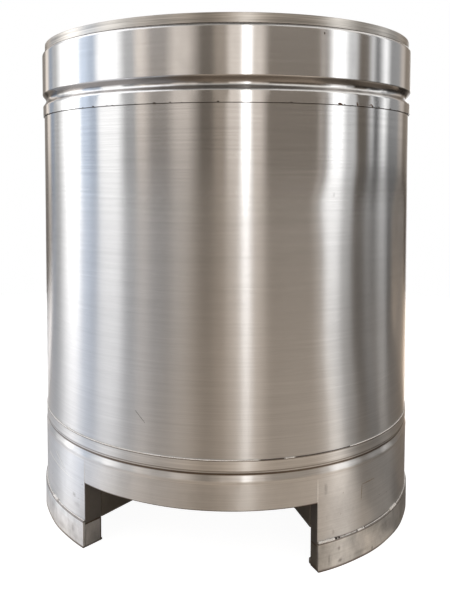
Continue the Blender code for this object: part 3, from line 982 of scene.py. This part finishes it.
@dataclass
class Skirt:
    """The lap band and bead below the wall, and the plain skirt down to the openings and the feet."""

    sheet: float = 0.002
    lap_top: float = 0.3375
    lap_bottom: float = 0.3070
    lap_radius: float = 0.6273
    hollow_height: float = 0.2970
    hollow_radius: float = 0.6243
    crest_height: float = 0.2790
    crest_radius: float = 0.6292
    bead_foot: float = 0.2725
    radius: float = 0.6283
    ring_bottom: float = 0.2670
    bend_reaches: tuple[float, ...] = (0.0022, 0.0036, 0.0034, 0.0018)
    bend_steps: int = 7
    opening_top: float = 0.1975
    base_top: float = 0.0815
    opening_half_angle: float = 33.0

    def bead_outline(self) -> list[Point2]:
        """The outer face of the lap band and bead, with its bends rounded.

        Returns:
            Its (radius, height) points.
        """
        corners = [
            (self.lap_radius, self.lap_top), (self.lap_radius, self.lap_bottom),
            (self.hollow_radius, self.hollow_height), (self.crest_radius, self.crest_height),
            (self.radius, self.bead_foot), (self.radius, self.ring_bottom),
        ]
        points = [corners[0]]
        for before, corner, after, reach in zip(corners, corners[1:], corners[2:], self.bend_reaches):
            middle = np.array(corner)
            start, end = (middle + (np.array(side) - middle) * (reach / math.dist(side, corner))
                          for side in (before, after))
            for share in np.linspace(0.0, 1.0, self.bend_steps):
                bend = (1 - share)**2 * start + 2 * share * (1 - share) * middle + share**2 * end
                points.append(tuple(bend))
        return split_rows(points + [corners[-1]], hold=0.0004)

    def unevenness(self, turn: np.ndarray, radius: np.ndarray, height: np.ndarray) -> np.ndarray:
        """The skirt's waves: slow all over, short on the bead.

        Args:
            turn: azimuths in radians.
            radius: radii, not used.
            height: heights.

        Returns:
            How far each point moves outwards.
        """
        upright = UPRIGHT * height
        short = 0.00035 * waves(turn, upright, 0.10, 22) + 0.0002 * waves(turn, upright, 0.035, 23)
        on_bead = np.exp(-((height - self.crest_height) / 0.012) ** 2)
        return 0.0007 * waves(turn, height, 0.30, 21) + on_bead * short

    def build(self) -> None:
        """Makes and dresses the ring, the two aprons and the two foot skins."""
        section = sheet_section(self.bead_outline(), self.sheet)
        register(revolve("skirt_bead", section, displace=self.unevenness), BEAD_STEEL, "skirt_ring")
        half, width = self.opening_half_angle, 2 * self.opening_half_angle
        foot = (self.base_top + TOUCH, HALF_TURN - width, FOOT_STEPS)
        apron = (self.opening_top, width, APRON_STEPS)
        sheets = (
            ("apron_sheet_front", "apron_front", APRON_STEEL, -half, *apron),
            ("apron_sheet_back", "apron_back", APRON_STEEL, HALF_TURN - half, *apron),
            ("foot_sheet_right", "foot_skin_right", SKIRT_STEEL, half, *foot),
            ("foot_sheet_left", "foot_skin_left", LIT_LEFT_SKIRT_STEEL, HALF_TURN + half, *foot),
        )
        for name, node, finish, start, bottom, sweep, steps in sheets:
            rows = split_rows([(self.radius, self.ring_bottom), (self.radius, bottom)])
            sheet = revolve(name, sheet_section(rows, self.sheet), start, sweep, steps, self.unevenness)
            register(sheet, finish, node)


@dataclass
class Foot:
    """One curved foot's base: its band, inner wall, lip, shelf and sole, with its end plates."""

    side: str
    start: float
    inner_radius: float
    lip_height: float
    lip_thickness: float
    band_finish: Steel
    end_finish: Steel
    sweep: float = 114.0
    band_radius: float = 0.6340
    band_sheet: float = 0.0080
    plate: float = 0.004
    top: float = 0.0815
    box_top: float = 0.0715
    fit: float = 0.0007

    def band_unevenness(self, turn: np.ndarray, radius: np.ndarray, height: np.ndarray) -> np.ndarray:
        """The band's slow waves."""
        return 0.0005 * waves(turn, height, 0.22, 31)

    def arc(self, name: str, node: str, section: Sequence[Point2], ease: float, finish: Steel,
            inset: float = 0.0, displace: Displace | None = None) -> None:
        """Makes one curved plate of the base.

        Args:
            name: the piece's name.
            node: the CAD node that it stands for.
            section: its closed section.
            ease: how far its corners are rounded.
            finish: its finish.
            inset: how much shorter it is at each end, in degrees.
            displace: its waves.
        """
        start, sweep = self.start + inset, self.sweep - 2 * inset
        piece = revolve(f"{name}_{self.side}", section, start, sweep, FOOT_STEPS, displace)
        register(ease_edges(piece, ease), finish, f"{node}_{self.side}")

    def build(self) -> None:
        """Makes and dresses the foot's base."""
        rows = split_rows([(self.band_radius, self.top), (self.band_radius, 0.0)], 0.03)
        self.arc("base_hoop", "base_band", sheet_section(rows, self.band_sheet), 0.0016, self.band_finish,
                 displace=self.band_unevenness)
        wall = self.inner_radius + self.plate
        section = sheet_section([(wall, self.box_top), (wall, 0.0)], self.plate)
        self.arc("base_back", "base_inner_wall", section, 0.0006, SHADED_PLATE_STEEL)
        lip = self.inner_radius - TOUCH
        section = sheet_section([(lip, self.lip_height), (lip, 0.0)], self.lip_thickness)
        self.arc("base_toe", "base_lip", section, 0.4 * self.lip_thickness, SHADED_END_STEEL)
        inner, outer = wall + self.fit, self.band_radius - self.band_sheet - self.fit
        inset = math.degrees((self.plate + self.fit) / inner)
        for name, node, top in (("base_sole", "sole", self.plate), ("base_deck", "base_shelf", self.box_top)):
            section = [(inner, top), (outer, top), (outer, top - self.plate), (inner, top - self.plate)]
            self.arc(name, node, section, 0.0005, SHADED_PLATE_STEEL, inset)
        caps = (("base_cap", "base_end", self.end_finish), ("foot_cap", "foot_end", SHADED_FOOT_END_STEEL))
        for place in ("a", "b"):
            for name, node, finish in caps:
                node = f"{node}_{self.side}_{place}"
                register(bevelled_copy(node, f"{name}_{self.side}_{place}", 0.0007), finish, node)


@dataclass
class Head:
    """The dished ends' shared shape."""

    radius: float = 0.6217
    sheet: float = 0.003
    flange: float = 0.030
    knuckle: float = 0.060
    crown: float = 2.500
    top_tangent: float = 1.2900
    bottom_tangent: float = 0.3450
    hole: float = 0.2003
    knuckle_steps: int = 10
    crown_steps: int = 16

    def depths(self) -> list[Point2]:
        """The outer face, from its edge to the axis.

        Returns:
            Its points, as radius and depth past the tangent line.
        """
        centre = self.radius - self.knuckle
        blend = math.asin(centre / (self.crown - self.knuckle))
        crown_centre = (self.crown - self.knuckle) * math.cos(blend)
        points = []
        for step in range(self.knuckle_steps + 1):
            angle = (math.pi / 2 - blend) * step / self.knuckle_steps
            points.append((centre + self.knuckle * math.cos(angle), self.knuckle * math.sin(angle)))
        for step in range(1, self.crown_steps + 1):
            angle = blend * (1 - step / self.crown_steps)
            points.append((self.crown * math.sin(angle), self.crown * math.cos(angle) - crown_centre))
        return points

    def depth_at(self, radius: float) -> float:
        """The outer face's depth at a radius within the crown."""
        return self.depths()[-1][1] - self.crown + math.sqrt(self.crown**2 - radius**2)

    def top_end(self) -> Piece:
        """The top end, with the manway's hole.

        Returns:
            The undressed piece.
        """
        outline = [(self.hole, self.top_tangent + self.depth_at(self.hole))]
        outline += [(radius, self.top_tangent + depth) for radius, depth in self.depths()[::-1]
                    if radius > self.hole + 0.01]
        outline.append((self.radius, self.top_tangent - self.flange))
        return revolve("top_dish", sheet_section(outline, self.sheet), steps=HEAD_STEPS)

    def bottom_end(self) -> Piece:
        """The bottom end, closed on the axis.

        Returns:
            The undressed piece.
        """
        outer = [(radius, self.bottom_tangent - depth) for radius, depth in self.depths()]
        outer[-1] = (0.0, outer[-1][1])
        scale = (self.radius - self.sheet) / self.radius
        inner = [(radius * scale, height + self.sheet) for radius, height in outer]
        inner[0] = (inner[0][0], outer[0][1])
        rim = self.bottom_tangent + self.flange
        section = inner[::-1] + [(inner[0][0], rim), (self.radius, rim)] + outer
        return revolve("bottom_dish", section, steps=HEAD_STEPS)


@dataclass
class Underside:
    """The bottom end and the crossed ribs under it."""

    head: Head
    ribs: tuple[str, ...] = ("rib_through", "rib_front_left", "rib_back_right")
    rib_ease: float = 0.0008

    def build(self) -> None:
        """Makes and dresses the bottom end and the ribs."""
        register(self.head.bottom_end(), SHADED_PLATE_STEEL, "bottom_head")
        for node in self.ribs:
            register(bevelled_copy(node, f"{node}_plate", self.rib_ease), SHADED_PLATE_STEEL, node)


@dataclass
class Manway:
    """The top end in the recess and the closed manway on it."""

    head: Head
    radius: float = 0.2000
    sheet: float = 0.003
    top: float = 1.4650
    flange_radius: float = 0.2160
    flange_height: float = 0.006
    lid_edge: float = 0.006
    lid_rise: float = 0.018
    lid_power: float = 2.4
    clamp_radius: float = 0.2215
    clamp_sheet: float = 0.002
    clamp_overhang: float = 0.010
    handle_span: float = 0.110
    handle_height: float = 0.034
    handle_rod: float = 0.005

    def turned(self, name: str, section: Sequence[Point2], node: str, ease: float) -> None:
        """Turns and dresses one round piece, with its corners eased unless ease is 0."""
        piece = revolve(name, section, steps=SMALL_STEPS)
        register(ease_edges(piece, ease) if ease else piece, COLLAR_STEEL, node)

    def build(self) -> None:
        """Makes and dresses the top end, neck, flange, lid, clamp ring and handle."""
        register(self.head.top_end(), WALL_STEEL, "top_head")
        bottom = self.head.top_tangent + self.head.depth_at(self.radius) - self.head.flange
        section = sheet_section([(self.radius, self.top), (self.radius, bottom)], self.sheet)
        self.turned("neck_tube", section, "manway_neck", 0.0006)
        low = self.top - self.flange_height
        inner = self.radius + TOUCH
        section = [(inner, self.top), (self.flange_radius, self.top), (self.flange_radius, low), (inner, low)]
        self.turned("neck_flange", section, "manway_flange", 0.0008)
        self.build_lid()
        top = self.top + TOUCH + self.lid_edge + TOUCH + self.clamp_sheet
        bottom = low - TOUCH - self.clamp_sheet
        reach = self.clamp_radius - self.clamp_overhang
        outline = [(reach, top), (self.clamp_radius, top), (self.clamp_radius, bottom), (reach, bottom)]
        self.turned("lid_clamp", sheet_section(outline, self.clamp_sheet), "manway_clamp", 0.0008)
        self.build_handle()

    def build_lid(self) -> None:
        """Makes the domed lid."""
        bottom = self.top + TOUCH
        edge = bottom + self.lid_edge
        dome = self.flange_radius - self.clamp_overhang - self.clamp_sheet
        points = [(0.0, edge + self.lid_rise)]
        points += [(dome * share, edge + self.lid_rise * (1 - share**self.lid_power))
                   for share in np.linspace(0.08, 0.98, 18)]
        points += [(dome, edge), (self.flange_radius, edge), (self.flange_radius, bottom), (0.0, bottom)]
        self.turned("lid_dome", points, "manway_lid", 0.0)

    def build_handle(self) -> None:
        """Bends the lid's rod handle."""
        half, bend = self.handle_span / 2, self.handle_height / 3
        foot = self.top + self.lid_edge + self.lid_rise * 0.95 + 2 * TOUCH
        top = foot + self.handle_height
        side = [(-half, foot), (-half, top - bend)]
        side += [(-half + bend * (1 - math.cos(angle)), top - bend * (1 - math.sin(angle)))
                 for angle in np.linspace(0.3, math.pi / 2, 6)]
        route = side + [(-across, height) for across, height in side[::-1]]
        curve = bpy.data.curves.new("handle_rod", "CURVE")
        curve.dimensions = "3D"
        curve.bevel_depth = self.handle_rod
        curve.bevel_resolution = 4
        curve.use_fill_caps = True
        spline = curve.splines.new("POLY")
        spline.points.add(len(route) - 1)
        for point, (across, height) in zip(spline.points, route):
            point.co = (across, 0.0, height, 1.0)
        rod = bpy.data.objects.new("handle_rod", curve)
        bpy.context.scene.collection.objects.link(rod)
        rod = bake(rod)
        face_outwards(rod.data)
        smooth(rod.data, 50.0)
        register(rod, RIM_STEEL, "lid_handle")


@dataclass(frozen=True)
class Band:
    """Something that a tree grows on the metal between two azimuths."""

    name: str
    first: float
    last: float
    radius: float
    height: float

    @property
    def start(self) -> float:
        """Where it starts, in radians."""
        return math.radians(self.first)

    @property
    def sweep(self) -> float:
        """How far it goes, in radians."""
        return math.radians(self.last - self.first)


@dataclass(frozen=True)
class Bead(Band):
    """One stretch of weld, of grime, or of painted shade along a seam."""

    thickness: float
    finish: Fleck
    unevenness: float
    wander: float
    seed: float
    spacing: float = 0.004
    least: int = 6

    @property
    def count(self) -> int:
        """How many points its line has."""
        return max(self.least, round(self.sweep * self.radius / self.spacing))


@dataclass(frozen=True)
class Scatter(Band):
    """A band of small flecks on the metal."""

    spread: float
    count: int
    size: float
    stretch: float
    finish: Fleck
    seed: int
    relief: float = 0.0003


@dataclass
class Seams:
    """The welds and grime along the seams, the painted shade lines under the collar and the rim, and the
    flecks and specks on the metal.
    """

    beads: tuple[Bead, ...] = (
        Bead("lap_weld_left", -176.0, 17.0, 0.6264, 0.3384, 0.0016, WELD_AND_GLINT, 0.7, 0.0005, 14.6),
        Bead("lap_weld_break", 24.0, 26.3, 0.6262, 0.3382, 0.0018, WELD_AND_GLINT, 1.2, 0.001, 21.9),
        Bead("lap_grime_right", 17.5, 23.6, 0.6257, 0.3380, 0.0010, GRIME_AND_SHADE, 0.8, 0.0005, 29.2),
        Bead("lap_grime_far", 26.8, 46.0, 0.6257, 0.3380, 0.0010, GRIME_AND_SHADE, 1.3, 0.0006, 36.5),
        Bead("lap_weld_right", 43.5, 183.0, 0.6264, 0.3384, 0.0013, WELD_AND_GLINT, 0.9, 0.0005, 43.8),
        # Painted shade: dark lines in the gap under the collar's lap and in the crevice under the rim.
        Bead("collar_seam_shade", -180.0, 179.9, 0.6254, 1.3047, 0.0009, GRIME_AND_SHADE, 1.1, 0.0006, 51.1),
        Bead("rim_crevice_shade", -180.0, 179.9, 0.6212, 1.5142, 0.0009, GRIME_AND_SHADE, 1.3, 0.0004, 102.2),
        Bead("foot_weld_right", 33.2, 146.8, 0.6292, 0.0820, 0.0013, WELD_AND_GLINT, 1.5, 0.0010, 58.4),
        Bead("foot_weld_left", 213.2, 326.8, 0.6293, 0.0824, 0.0016, WELD_AND_GLINT, 1.2, 0.0009, 65.7),
        Bead("corner_lump_right", 33.3, 38.2, 0.6294, 0.0828, 0.0040, WELD_AND_GLINT, 1.6, 0.0018, 73.0, 0.0030),
        Bead("side_lump_right", 46.4, 48.8, 0.6294, 0.0826, 0.0030, WELD_AND_GLINT, 1.4, 0.0012, 80.3, 0.0025),
        Bead("rear_lump_right", 62.4, 66.6, 0.6294, 0.0828, 0.0044, WELD_AND_GLINT, 1.4, 0.0012, 87.6, 0.0025),
        Bead("side_lump_left", 308.4, 311.8, 0.6294, 0.0832, 0.0042, WELD_AND_GLINT, 1.4, 0.0012, 94.9, 0.0025),
    )
    scatters: tuple[Scatter, ...] = (
        Scatter("collar_burrs", -180.0, 180.0, 0.6289, 1.3060, 0.0018, 60, 0.0022, 2.2, GRIME_AND_SHADE, 1),
        Scatter("collar_rust", 35.0, 52.0, 0.6290, 1.3085, 0.0040, 11, 0.0023, 1.4, RUST, 2),
        Scatter("wall_specks", -180.0, 180.0, 0.6250, 0.82, 0.46, 46, 0.0012, 1.0, GRIME_AND_SHADE, 3, 0.0002),
        Scatter("collar_specks", -180.0, 180.0, 0.6303, 1.44, 0.06, 22, 0.0011, 1.0, GRIME_AND_SHADE, 4, 0.0002),
        Scatter("lap_flecks", -180.0, 180.0, 0.6274, 0.3375, 0.0016, 46, 0.0013, 2.2, GRIME_AND_SHADE, 5),
        Scatter("foot_specks_right", 34.0, 146.0, 0.6283, 0.150, 0.060, 24, 0.0013, 1.0, RUST, 6),
        Scatter("foot_specks_left", 214.0, 326.0, 0.6283, 0.150, 0.060, 24, 0.0013, 1.0, RUST, 7),
        Scatter("foot_burrs_right", 33.5, 146.5, 0.6288, 0.0822, 0.0022, 40, 0.0017, 1.8, GRIME_AND_SHADE, 8, 0.0008),
        Scatter("foot_burrs_left", 213.5, 326.5, 0.6288, 0.0822, 0.0022, 40, 0.0017, 1.8, GRIME_AND_SHADE, 9, 0.0008),
        Scatter("corner_pits", 33.6, 40.0, 0.6302, 0.0832, 0.0024, 9, 0.0022, 1.6, GRIME_AND_SHADE, 10, 0.0022),
        Scatter("side_pits", 45.6, 50.0, 0.6300, 0.0828, 0.0020, 5, 0.0020, 1.6, GRIME_AND_SHADE, 11, 0.0020),
    )

    def build(self) -> None:
        """Grows and dresses every bead and scatter."""
        for tree, bands in ((bead_tree(), self.beads), (fleck_tree(), self.scatters)):
            for band in bands:
                piece = tree.run(band.name, band.finish, band)
                smooth(piece.data, LUMP_ANGLE)
                register(piece, band.finish)


@dataclass(frozen=True)
class Scratch:
    """A thin mark between two places on the metal, each an azimuth and a height."""

    name: str
    first: Point2
    second: Point2
    width: float
    radius: float
    finish: Fleck
    proud: float = 0.0003
    sunk: float = 0.0006
    steps: int = 14

    def strip(self) -> Piece:
        """A thin lens-shaped strip on the curved metal.

        Returns:
            The undressed piece.
        """
        angles = np.radians(np.linspace(self.first[0], self.second[0], self.steps + 1))
        heights = np.linspace(self.first[1], self.second[1], self.steps + 1)
        run = np.array([self.radius * (angles[-1] - angles[0]), heights[-1] - heights[0]])
        aside = np.array([-run[1], run[0]]) / np.linalg.norm(run)
        profile = ((-1, -self.sunk), (-1, 0.0), (0, self.proud), (1, 0.0), (1, -self.sunk))
        corners, faces = [], []
        for index, (angle, height) in enumerate(zip(angles, heights)):
            swell = math.sin(math.pi * (index + 0.4) / (self.steps + 0.8))
            taper = self.width * (0.25 + 0.75 * swell) / 2
            for sign, out in profile:
                turn = angle + sign * aside[0] * taper / self.radius
                reach = self.radius + out
                corners.append((reach * math.sin(turn), -reach * math.cos(turn),
                                height + sign * aside[1] * taper))
        for here in range(0, 5 * self.steps, 5):
            faces += [(here + point, here + 5 + point, here + 5 + (point + 1) % 5, here + (point + 1) % 5)
                      for point in range(5)]
        faces += [tuple(range(5)), tuple(range(5 * self.steps, 5 * self.steps + 5))[::-1]]
        return solid_of(self.name, corners, faces, LUMP_ANGLE)


@dataclass
class Marks:
    """The scratches, the painted glints on two dings, the scribed bracket on the right foot and the welds over
    the opening's corners.
    """

    scratches: tuple[Scratch, ...] = (
        Scratch("wall_scratch_high", (37.4, 1.080), (37.4, 1.052), 0.0016, 0.6225, GRIME_AND_SHADE),
        # Painted glints: two small dings drawn as near-white strips.
        Scratch("upper_ding_glint", (11.15, 1.1700), (11.15, 1.1620), 0.0024, 0.6250, WELD_AND_GLINT),
        Scratch("lower_ding_glint", (11.17, 1.0720), (11.17, 1.0640), 0.0022, 0.6250, WELD_AND_GLINT),
        Scratch("wall_scratch_low", (-15.1, 0.456), (-12.2, 0.424), 0.0010, 0.6252, GRIME_AND_SHADE),
        Scratch("collar_nick", (33.6, 1.4975), (33.6, 1.4905), 0.0035, 0.6303, GRIME_AND_SHADE),
        Scratch("seam_rust_left", (37.9, 1.3082), (39.3, 1.3066), 0.0075, 0.6289, RUST),
        Scratch("seam_rust_right", (44.2, 1.3160), (44.5, 1.3040), 0.0052, 0.6289, RUST),
        Scratch("foot_scratch_long", (-57.0, 0.2060), (-39.0, 0.1915), 0.0014, 0.6290, WELD_AND_GLINT),
        Scratch("foot_scratch_steep", (-50.0, 0.2360), (-43.0, 0.2040), 0.0013, 0.6290, WELD_AND_GLINT),
        Scratch("scribed_across", (48.1, 0.2145), (53.4, 0.2153), 0.0024, 0.6290, SCRIBE),
        Scratch("scribed_down", (48.0, 0.2145), (47.7, 0.1680), 0.0024, 0.6290, SCRIBE),
        Scratch("corner_weld", (33.0, 0.2640), (33.0, 0.1950), 0.0030, 0.6284, WELD_AND_GLINT),
        Scratch("corner_weld_left", (-33.0, 0.2640), (-33.0, 0.1950), 0.0016, 0.6284, WELD_AND_GLINT),
    )

    def build(self) -> None:
        """Makes and dresses every mark."""
        for scratch in self.scratches:
            register(scratch.strip(), scratch.finish)


COOL = (0.88, 1.0, 1.19)
WARM = (1.18, 1.0, 0.83)
TAN = (1.11, 1.0, 0.90)


@dataclass(frozen=True)
class Panel:
    """One upright strip of the studio's surround: where it stands, how bright it is and its tint."""

    start: float
    end: float
    level: float
    tint: Colour = (1.0, 1.0, 1.0)


@dataclass(frozen=True)
class Screen:
    """A low screen: its middle, how far it reaches to each side and how much light is left behind it.

    A share above 1 stands for a lamp that shines low instead.
    """

    azimuth: float
    reach: float
    share: float
    soft: float = 8.0


@dataclass
class Studio:
    """A soft studio: bright and dim upright panels all round, a soft ceiling and a pale floor."""

    left: tuple[Panel, ...] = (
        Panel(-180.0, -169.0, 0.42), Panel(-160.0, -156.5, 0.75), Panel(-148.0, -138.0, 0.26, TAN),
        Panel(-134.5, -130.5, 1.02, TAN), Panel(-127.0, -123.0, 0.47, COOL), Panel(-119.0, -115.0, 0.66),
        Panel(-99.6, -92.0, 2.70), Panel(-86.0, -82.0, 1.08, COOL), Panel(-77.0, -74.5, 0.76, COOL),
        Panel(-70.5, -57.5, 1.70), Panel(-51.5, -46.5, 0.65), Panel(-43.5, -40.5, 1.02, TAN),
        Panel(-34.5, -26.5, 0.43, TAN), Panel(-20.0, -13.5, 0.92, TAN), Panel(-5.0, 0.0, 0.17, WARM),
    )
    right: tuple[Panel, ...] = (
        Panel(0.0, 0.0, 0.17, WARM), Panel(4.0, 8.0, 0.40, WARM), Panel(11.0, 17.0, 0.94, TAN),
        Panel(20.2, 21.2, 3.60), Panel(24.5, 29.0, 0.92, TAN), Panel(34.0, 63.5, 0.235, WARM),
        Panel(65.0, 66.0, 0.52, TAN), Panel(69.0, 69.0, 0.33, TAN), Panel(74.0, 80.5, 2.15),
        Panel(84.5, 90.0, 0.92), Panel(93.0, 100.0, 0.18, WARM), Panel(104.5, 104.5, 1.10),
        Panel(108.0, 110.0, 0.19), Panel(117.0, 117.0, 1.90), Panel(123.0, 134.0, 0.42),
        Panel(140.0, 142.5, 0.62, TAN), Panel(147.0, 158.0, 0.26, WARM), Panel(169.0, 180.0, 1.70),
    )
    front_cove: Colour = (0.57, 0.54, 0.50)
    left_cove: Colour = (1.80, 1.80, 1.84)
    right_cove: Colour = (1.15, 1.11, 1.06)
    ceiling: Colour = (0.14, 0.135, 0.13)
    low_dimming: float = 0.78
    low_contrast: float = 1.2
    screens: tuple[Screen, ...] = (
        Screen(125.0, 35.0, 0.16),
        Screen(-30.0, 28.0, 0.42),
        Screen(105.0, 9.0, 0.40, 5.0),
        Screen(-134.0, 10.0, 0.45, 5.0),
    )
    floor_screens: tuple[Screen, ...] = (
        Screen(98.0, 36.0, 0.40, 8.0),
        Screen(89.0, 9.0, 0.60, 5.0),
        Screen(-26.0, 24.0, 0.74, 9.0),
        Screen(172.0, 38.0, 2.4, 7.0),
        Screen(-158.0, 41.0, 3.0, 7.0),
    )
    floor_radius: float = 4.2
    floor_drop: float = 0.0002
    floor_pale: Colour = (0.30, 0.30, 0.30)
    floor_glow: float = 0.95
    floor_tone: Colour = (0.75, 0.60, 0.46)
    floor_left_tone: Colour = (0.56, 0.60, 0.64)
    floor_gloss: Colour = (0.95, 0.88, 0.80)
    floor_left_gloss: Colour = (0.89, 0.885, 0.905)
    floor_shine: float = 0.52
    floor_roughness: float = 0.22

    def ramp(self, wires: Wiring, place: Socket, panels: Sequence[Panel], first: float) -> Socket:
        """A colour ramp through a half turn of panels.

        Args:
            wires: the world's tree.
            place: the way along the half turn, from 0 to 1.
            panels: the panels in order.
            first: the azimuth where the half turn starts.

        Returns:
            The ramp's colour socket.
        """
        node = wires.add("ShaderNodeValToRGB", {"Fac": place})
        stops = []
        for panel in panels:
            colour = opaque(tuple(panel.level * part for part in panel.tint))
            edges = dict.fromkeys((panel.start, panel.end))
            stops += [((edge - first) / HALF_TURN, colour) for edge in edges]
        elements = node.color_ramp.elements
        elements[0].position, elements[0].color = stops[0]
        elements[1].position, elements[1].color = stops[-1]
        for position, colour in stops[1:-1]:
            elements.new(position).color = colour
        return node.outputs["Color"]

    def let_through(self, wires: Wiring, azimuth: Socket, screens: Sequence[Screen],
                    share: object) -> Socket:
        """How much light the screens leave.

        Args:
            wires: the world's or the floor's tree.
            azimuth: where a ray goes, in radians.
            screens: the screens in its way.
            share: how much light there is without them.

        Returns:
            The socket of what is left.
        """
        for screen in screens:
            aside = wires.math("ABSOLUTE", wires.minus(azimuth, math.radians(screen.azimuth)))
            edge, core = math.radians(screen.reach), math.radians(screen.reach - screen.soft)
            share = wires.times(share, wires.map_range(aside, edge, core, 1.0, screen.share))
        return share

    def build_world(self) -> None:
        """Lights the scene with the panels, which only reflections and light rays see."""
        world = bpy.data.worlds.new("studio")
        bpy.context.scene.world = world
        world.use_nodes = True
        wires = Wiring(world.node_tree)
        world.node_tree.nodes.clear()
        direction = wires.out("ShaderNodeTexCoord", output="Generated")
        azimuth = wires.azimuth(direction)
        across, height = (wires.part(direction, axis) for axis in "XZ")
        share = wires.math("DIVIDE", azimuth, math.pi)
        left = self.ramp(wires, wires.math("ADD", share, 1.0), self.left, -HALF_TURN)
        right = self.ramp(wires, share, self.right, 0.0)
        wall = wires.mix(wires.math("GREATER_THAN", azimuth, 0.0), left, right)
        low = self.let_through(wires, azimuth, self.screens, self.low_dimming)
        contrast = wires.map_range(height, 0.0, -0.10, 1.0, self.low_contrast)
        dimmed = wires.out("ShaderNodeGamma", {"Color": wall, "Gamma": contrast})
        wall = wires.mix(wires.map_range(height, 0.08, -0.08), wall, wires.scale(dimmed, low))
        cove = wires.mix(wires.map_range(across, 0.25, 0.70), self.front_cove, self.right_cove)
        cove = wires.mix(wires.map_range(across, -0.15, -0.60), cove, self.left_cove)
        wall = wires.mix(wires.map_range(height, 0.38, 0.52), wall, cove)
        surround = wires.mix(wires.map_range(height, 0.74, 0.90), wall, self.ceiling)
        lit, backdrop = (wires.out("ShaderNodeBackground", {"Color": colour}) for colour in (surround, WHITE))
        wires.add("ShaderNodeOutputWorld", {"Surface": wires.either(lit, backdrop)})

    def floor_material(self) -> bpy.types.Material:
        """The floor's material: pale to the camera, and a mid tone where the metal reflects it.

        Returns:
            The material.
        """
        material = bpy.data.materials.new("studio_floor")
        material.use_nodes = True
        material.node_tree.nodes.clear()
        wires = Wiring(material.node_tree)
        place = wires.out("ShaderNodeTexCoord", output="Object")
        # Painted shade and painted light: the screens darken and brighten the floor's reflected tone and gloss
        # by azimuth.
        share = self.let_through(wires, wires.azimuth(place), self.floor_screens, 1.0)
        leftwards = wires.map_range(wires.part(place, "X"), -0.45, -0.80)
        tone = wires.scale(wires.mix(leftwards, self.floor_tone, self.floor_left_tone), share)
        gloss = wires.scale(wires.mix(leftwards, self.floor_gloss, self.floor_left_gloss), share)
        dull, pale = (wires.out("ShaderNodeBsdfDiffuse", {"Color": colour})
                      for colour in (tone, opaque(self.floor_pale)))
        shine = wires.out("ShaderNodeBsdfGlossy", {"Color": gloss, "Roughness": self.floor_roughness})
        glow = wires.out("ShaderNodeEmission", {"Color": WHITE, "Strength": self.floor_glow})
        reflected = wires.out("ShaderNodeMixShader", {0: self.floor_shine, 1: dull, 2: shine})
        seen = wires.out("ShaderNodeAddShader", {0: pale, 1: glow})
        wires.add("ShaderNodeOutputMaterial", {"Surface": wires.either(reflected, seen)})
        return material

    def build(self) -> None:
        """Sets the light and how the picture is shown, and lays the floor."""
        self.build_world()
        angles = np.radians(np.arange(0.0, FULL_TURN, 3.0))
        corners = [(self.floor_radius * math.cos(angle), self.floor_radius * math.sin(angle), -self.floor_drop)
                   for angle in angles]
        mesh = bpy.data.meshes.new("studio_floor")
        mesh.from_pydata(corners, [], [tuple(range(len(corners)))])
        mesh.materials.append(self.floor_material())
        link_mesh("studio_floor", mesh)
        bpy.context.scene.view_settings.view_transform = "Standard"
        bpy.context.scene.view_settings.look = "None"


@dataclass
class Viewpoint:
    """The camera, where the photograph was taken from."""

    place: tuple[float, float, float] = (0.3596, -2.4204, 1.1159)
    pitch: float = 86.926
    heading: float = 10.53
    lens: float = 41.08
    sensor: float = 36.0
    shift: tuple[float, float] = (0.0417, -0.149)

    def build(self) -> None:
        """Adds the camera."""
        data = bpy.data.cameras.new("photo_camera")
        data.lens = self.lens
        data.sensor_width = self.sensor
        data.sensor_fit = "AUTO"
        data.shift_x, data.shift_y = self.shift
        camera = bpy.data.objects.new("photo_camera", data)
        camera.location = self.place
        camera.rotation_euler = (math.radians(self.pitch), 0.0, math.radians(self.heading))
        bpy.context.scene.collection.objects.link(camera)
        bpy.context.scene.camera = camera


def main() -> None:
    """Builds the camera, the studio and the tank's sub-assemblies in order."""
    logging.basicConfig(level=logging.INFO, format="%(name)s %(message)s")
    head = Head()
    feet = (Foot("right", 33.0, 0.5920, 0.0190, 0.0110, BASE_STEEL, SHADED_END_STEEL),
            Foot("left", 213.0, 0.5660, 0.0060, 0.0035, LIT_LEFT_BASE_STEEL, BASE_END_STEEL))
    for assembly in (Viewpoint(), Studio(), Wall(), Collar(), Skirt(), *feet, Underside(head), Manway(head),
                     Seams(), Marks()):
        assembly.build()


if __name__ == "__main__":
    main()
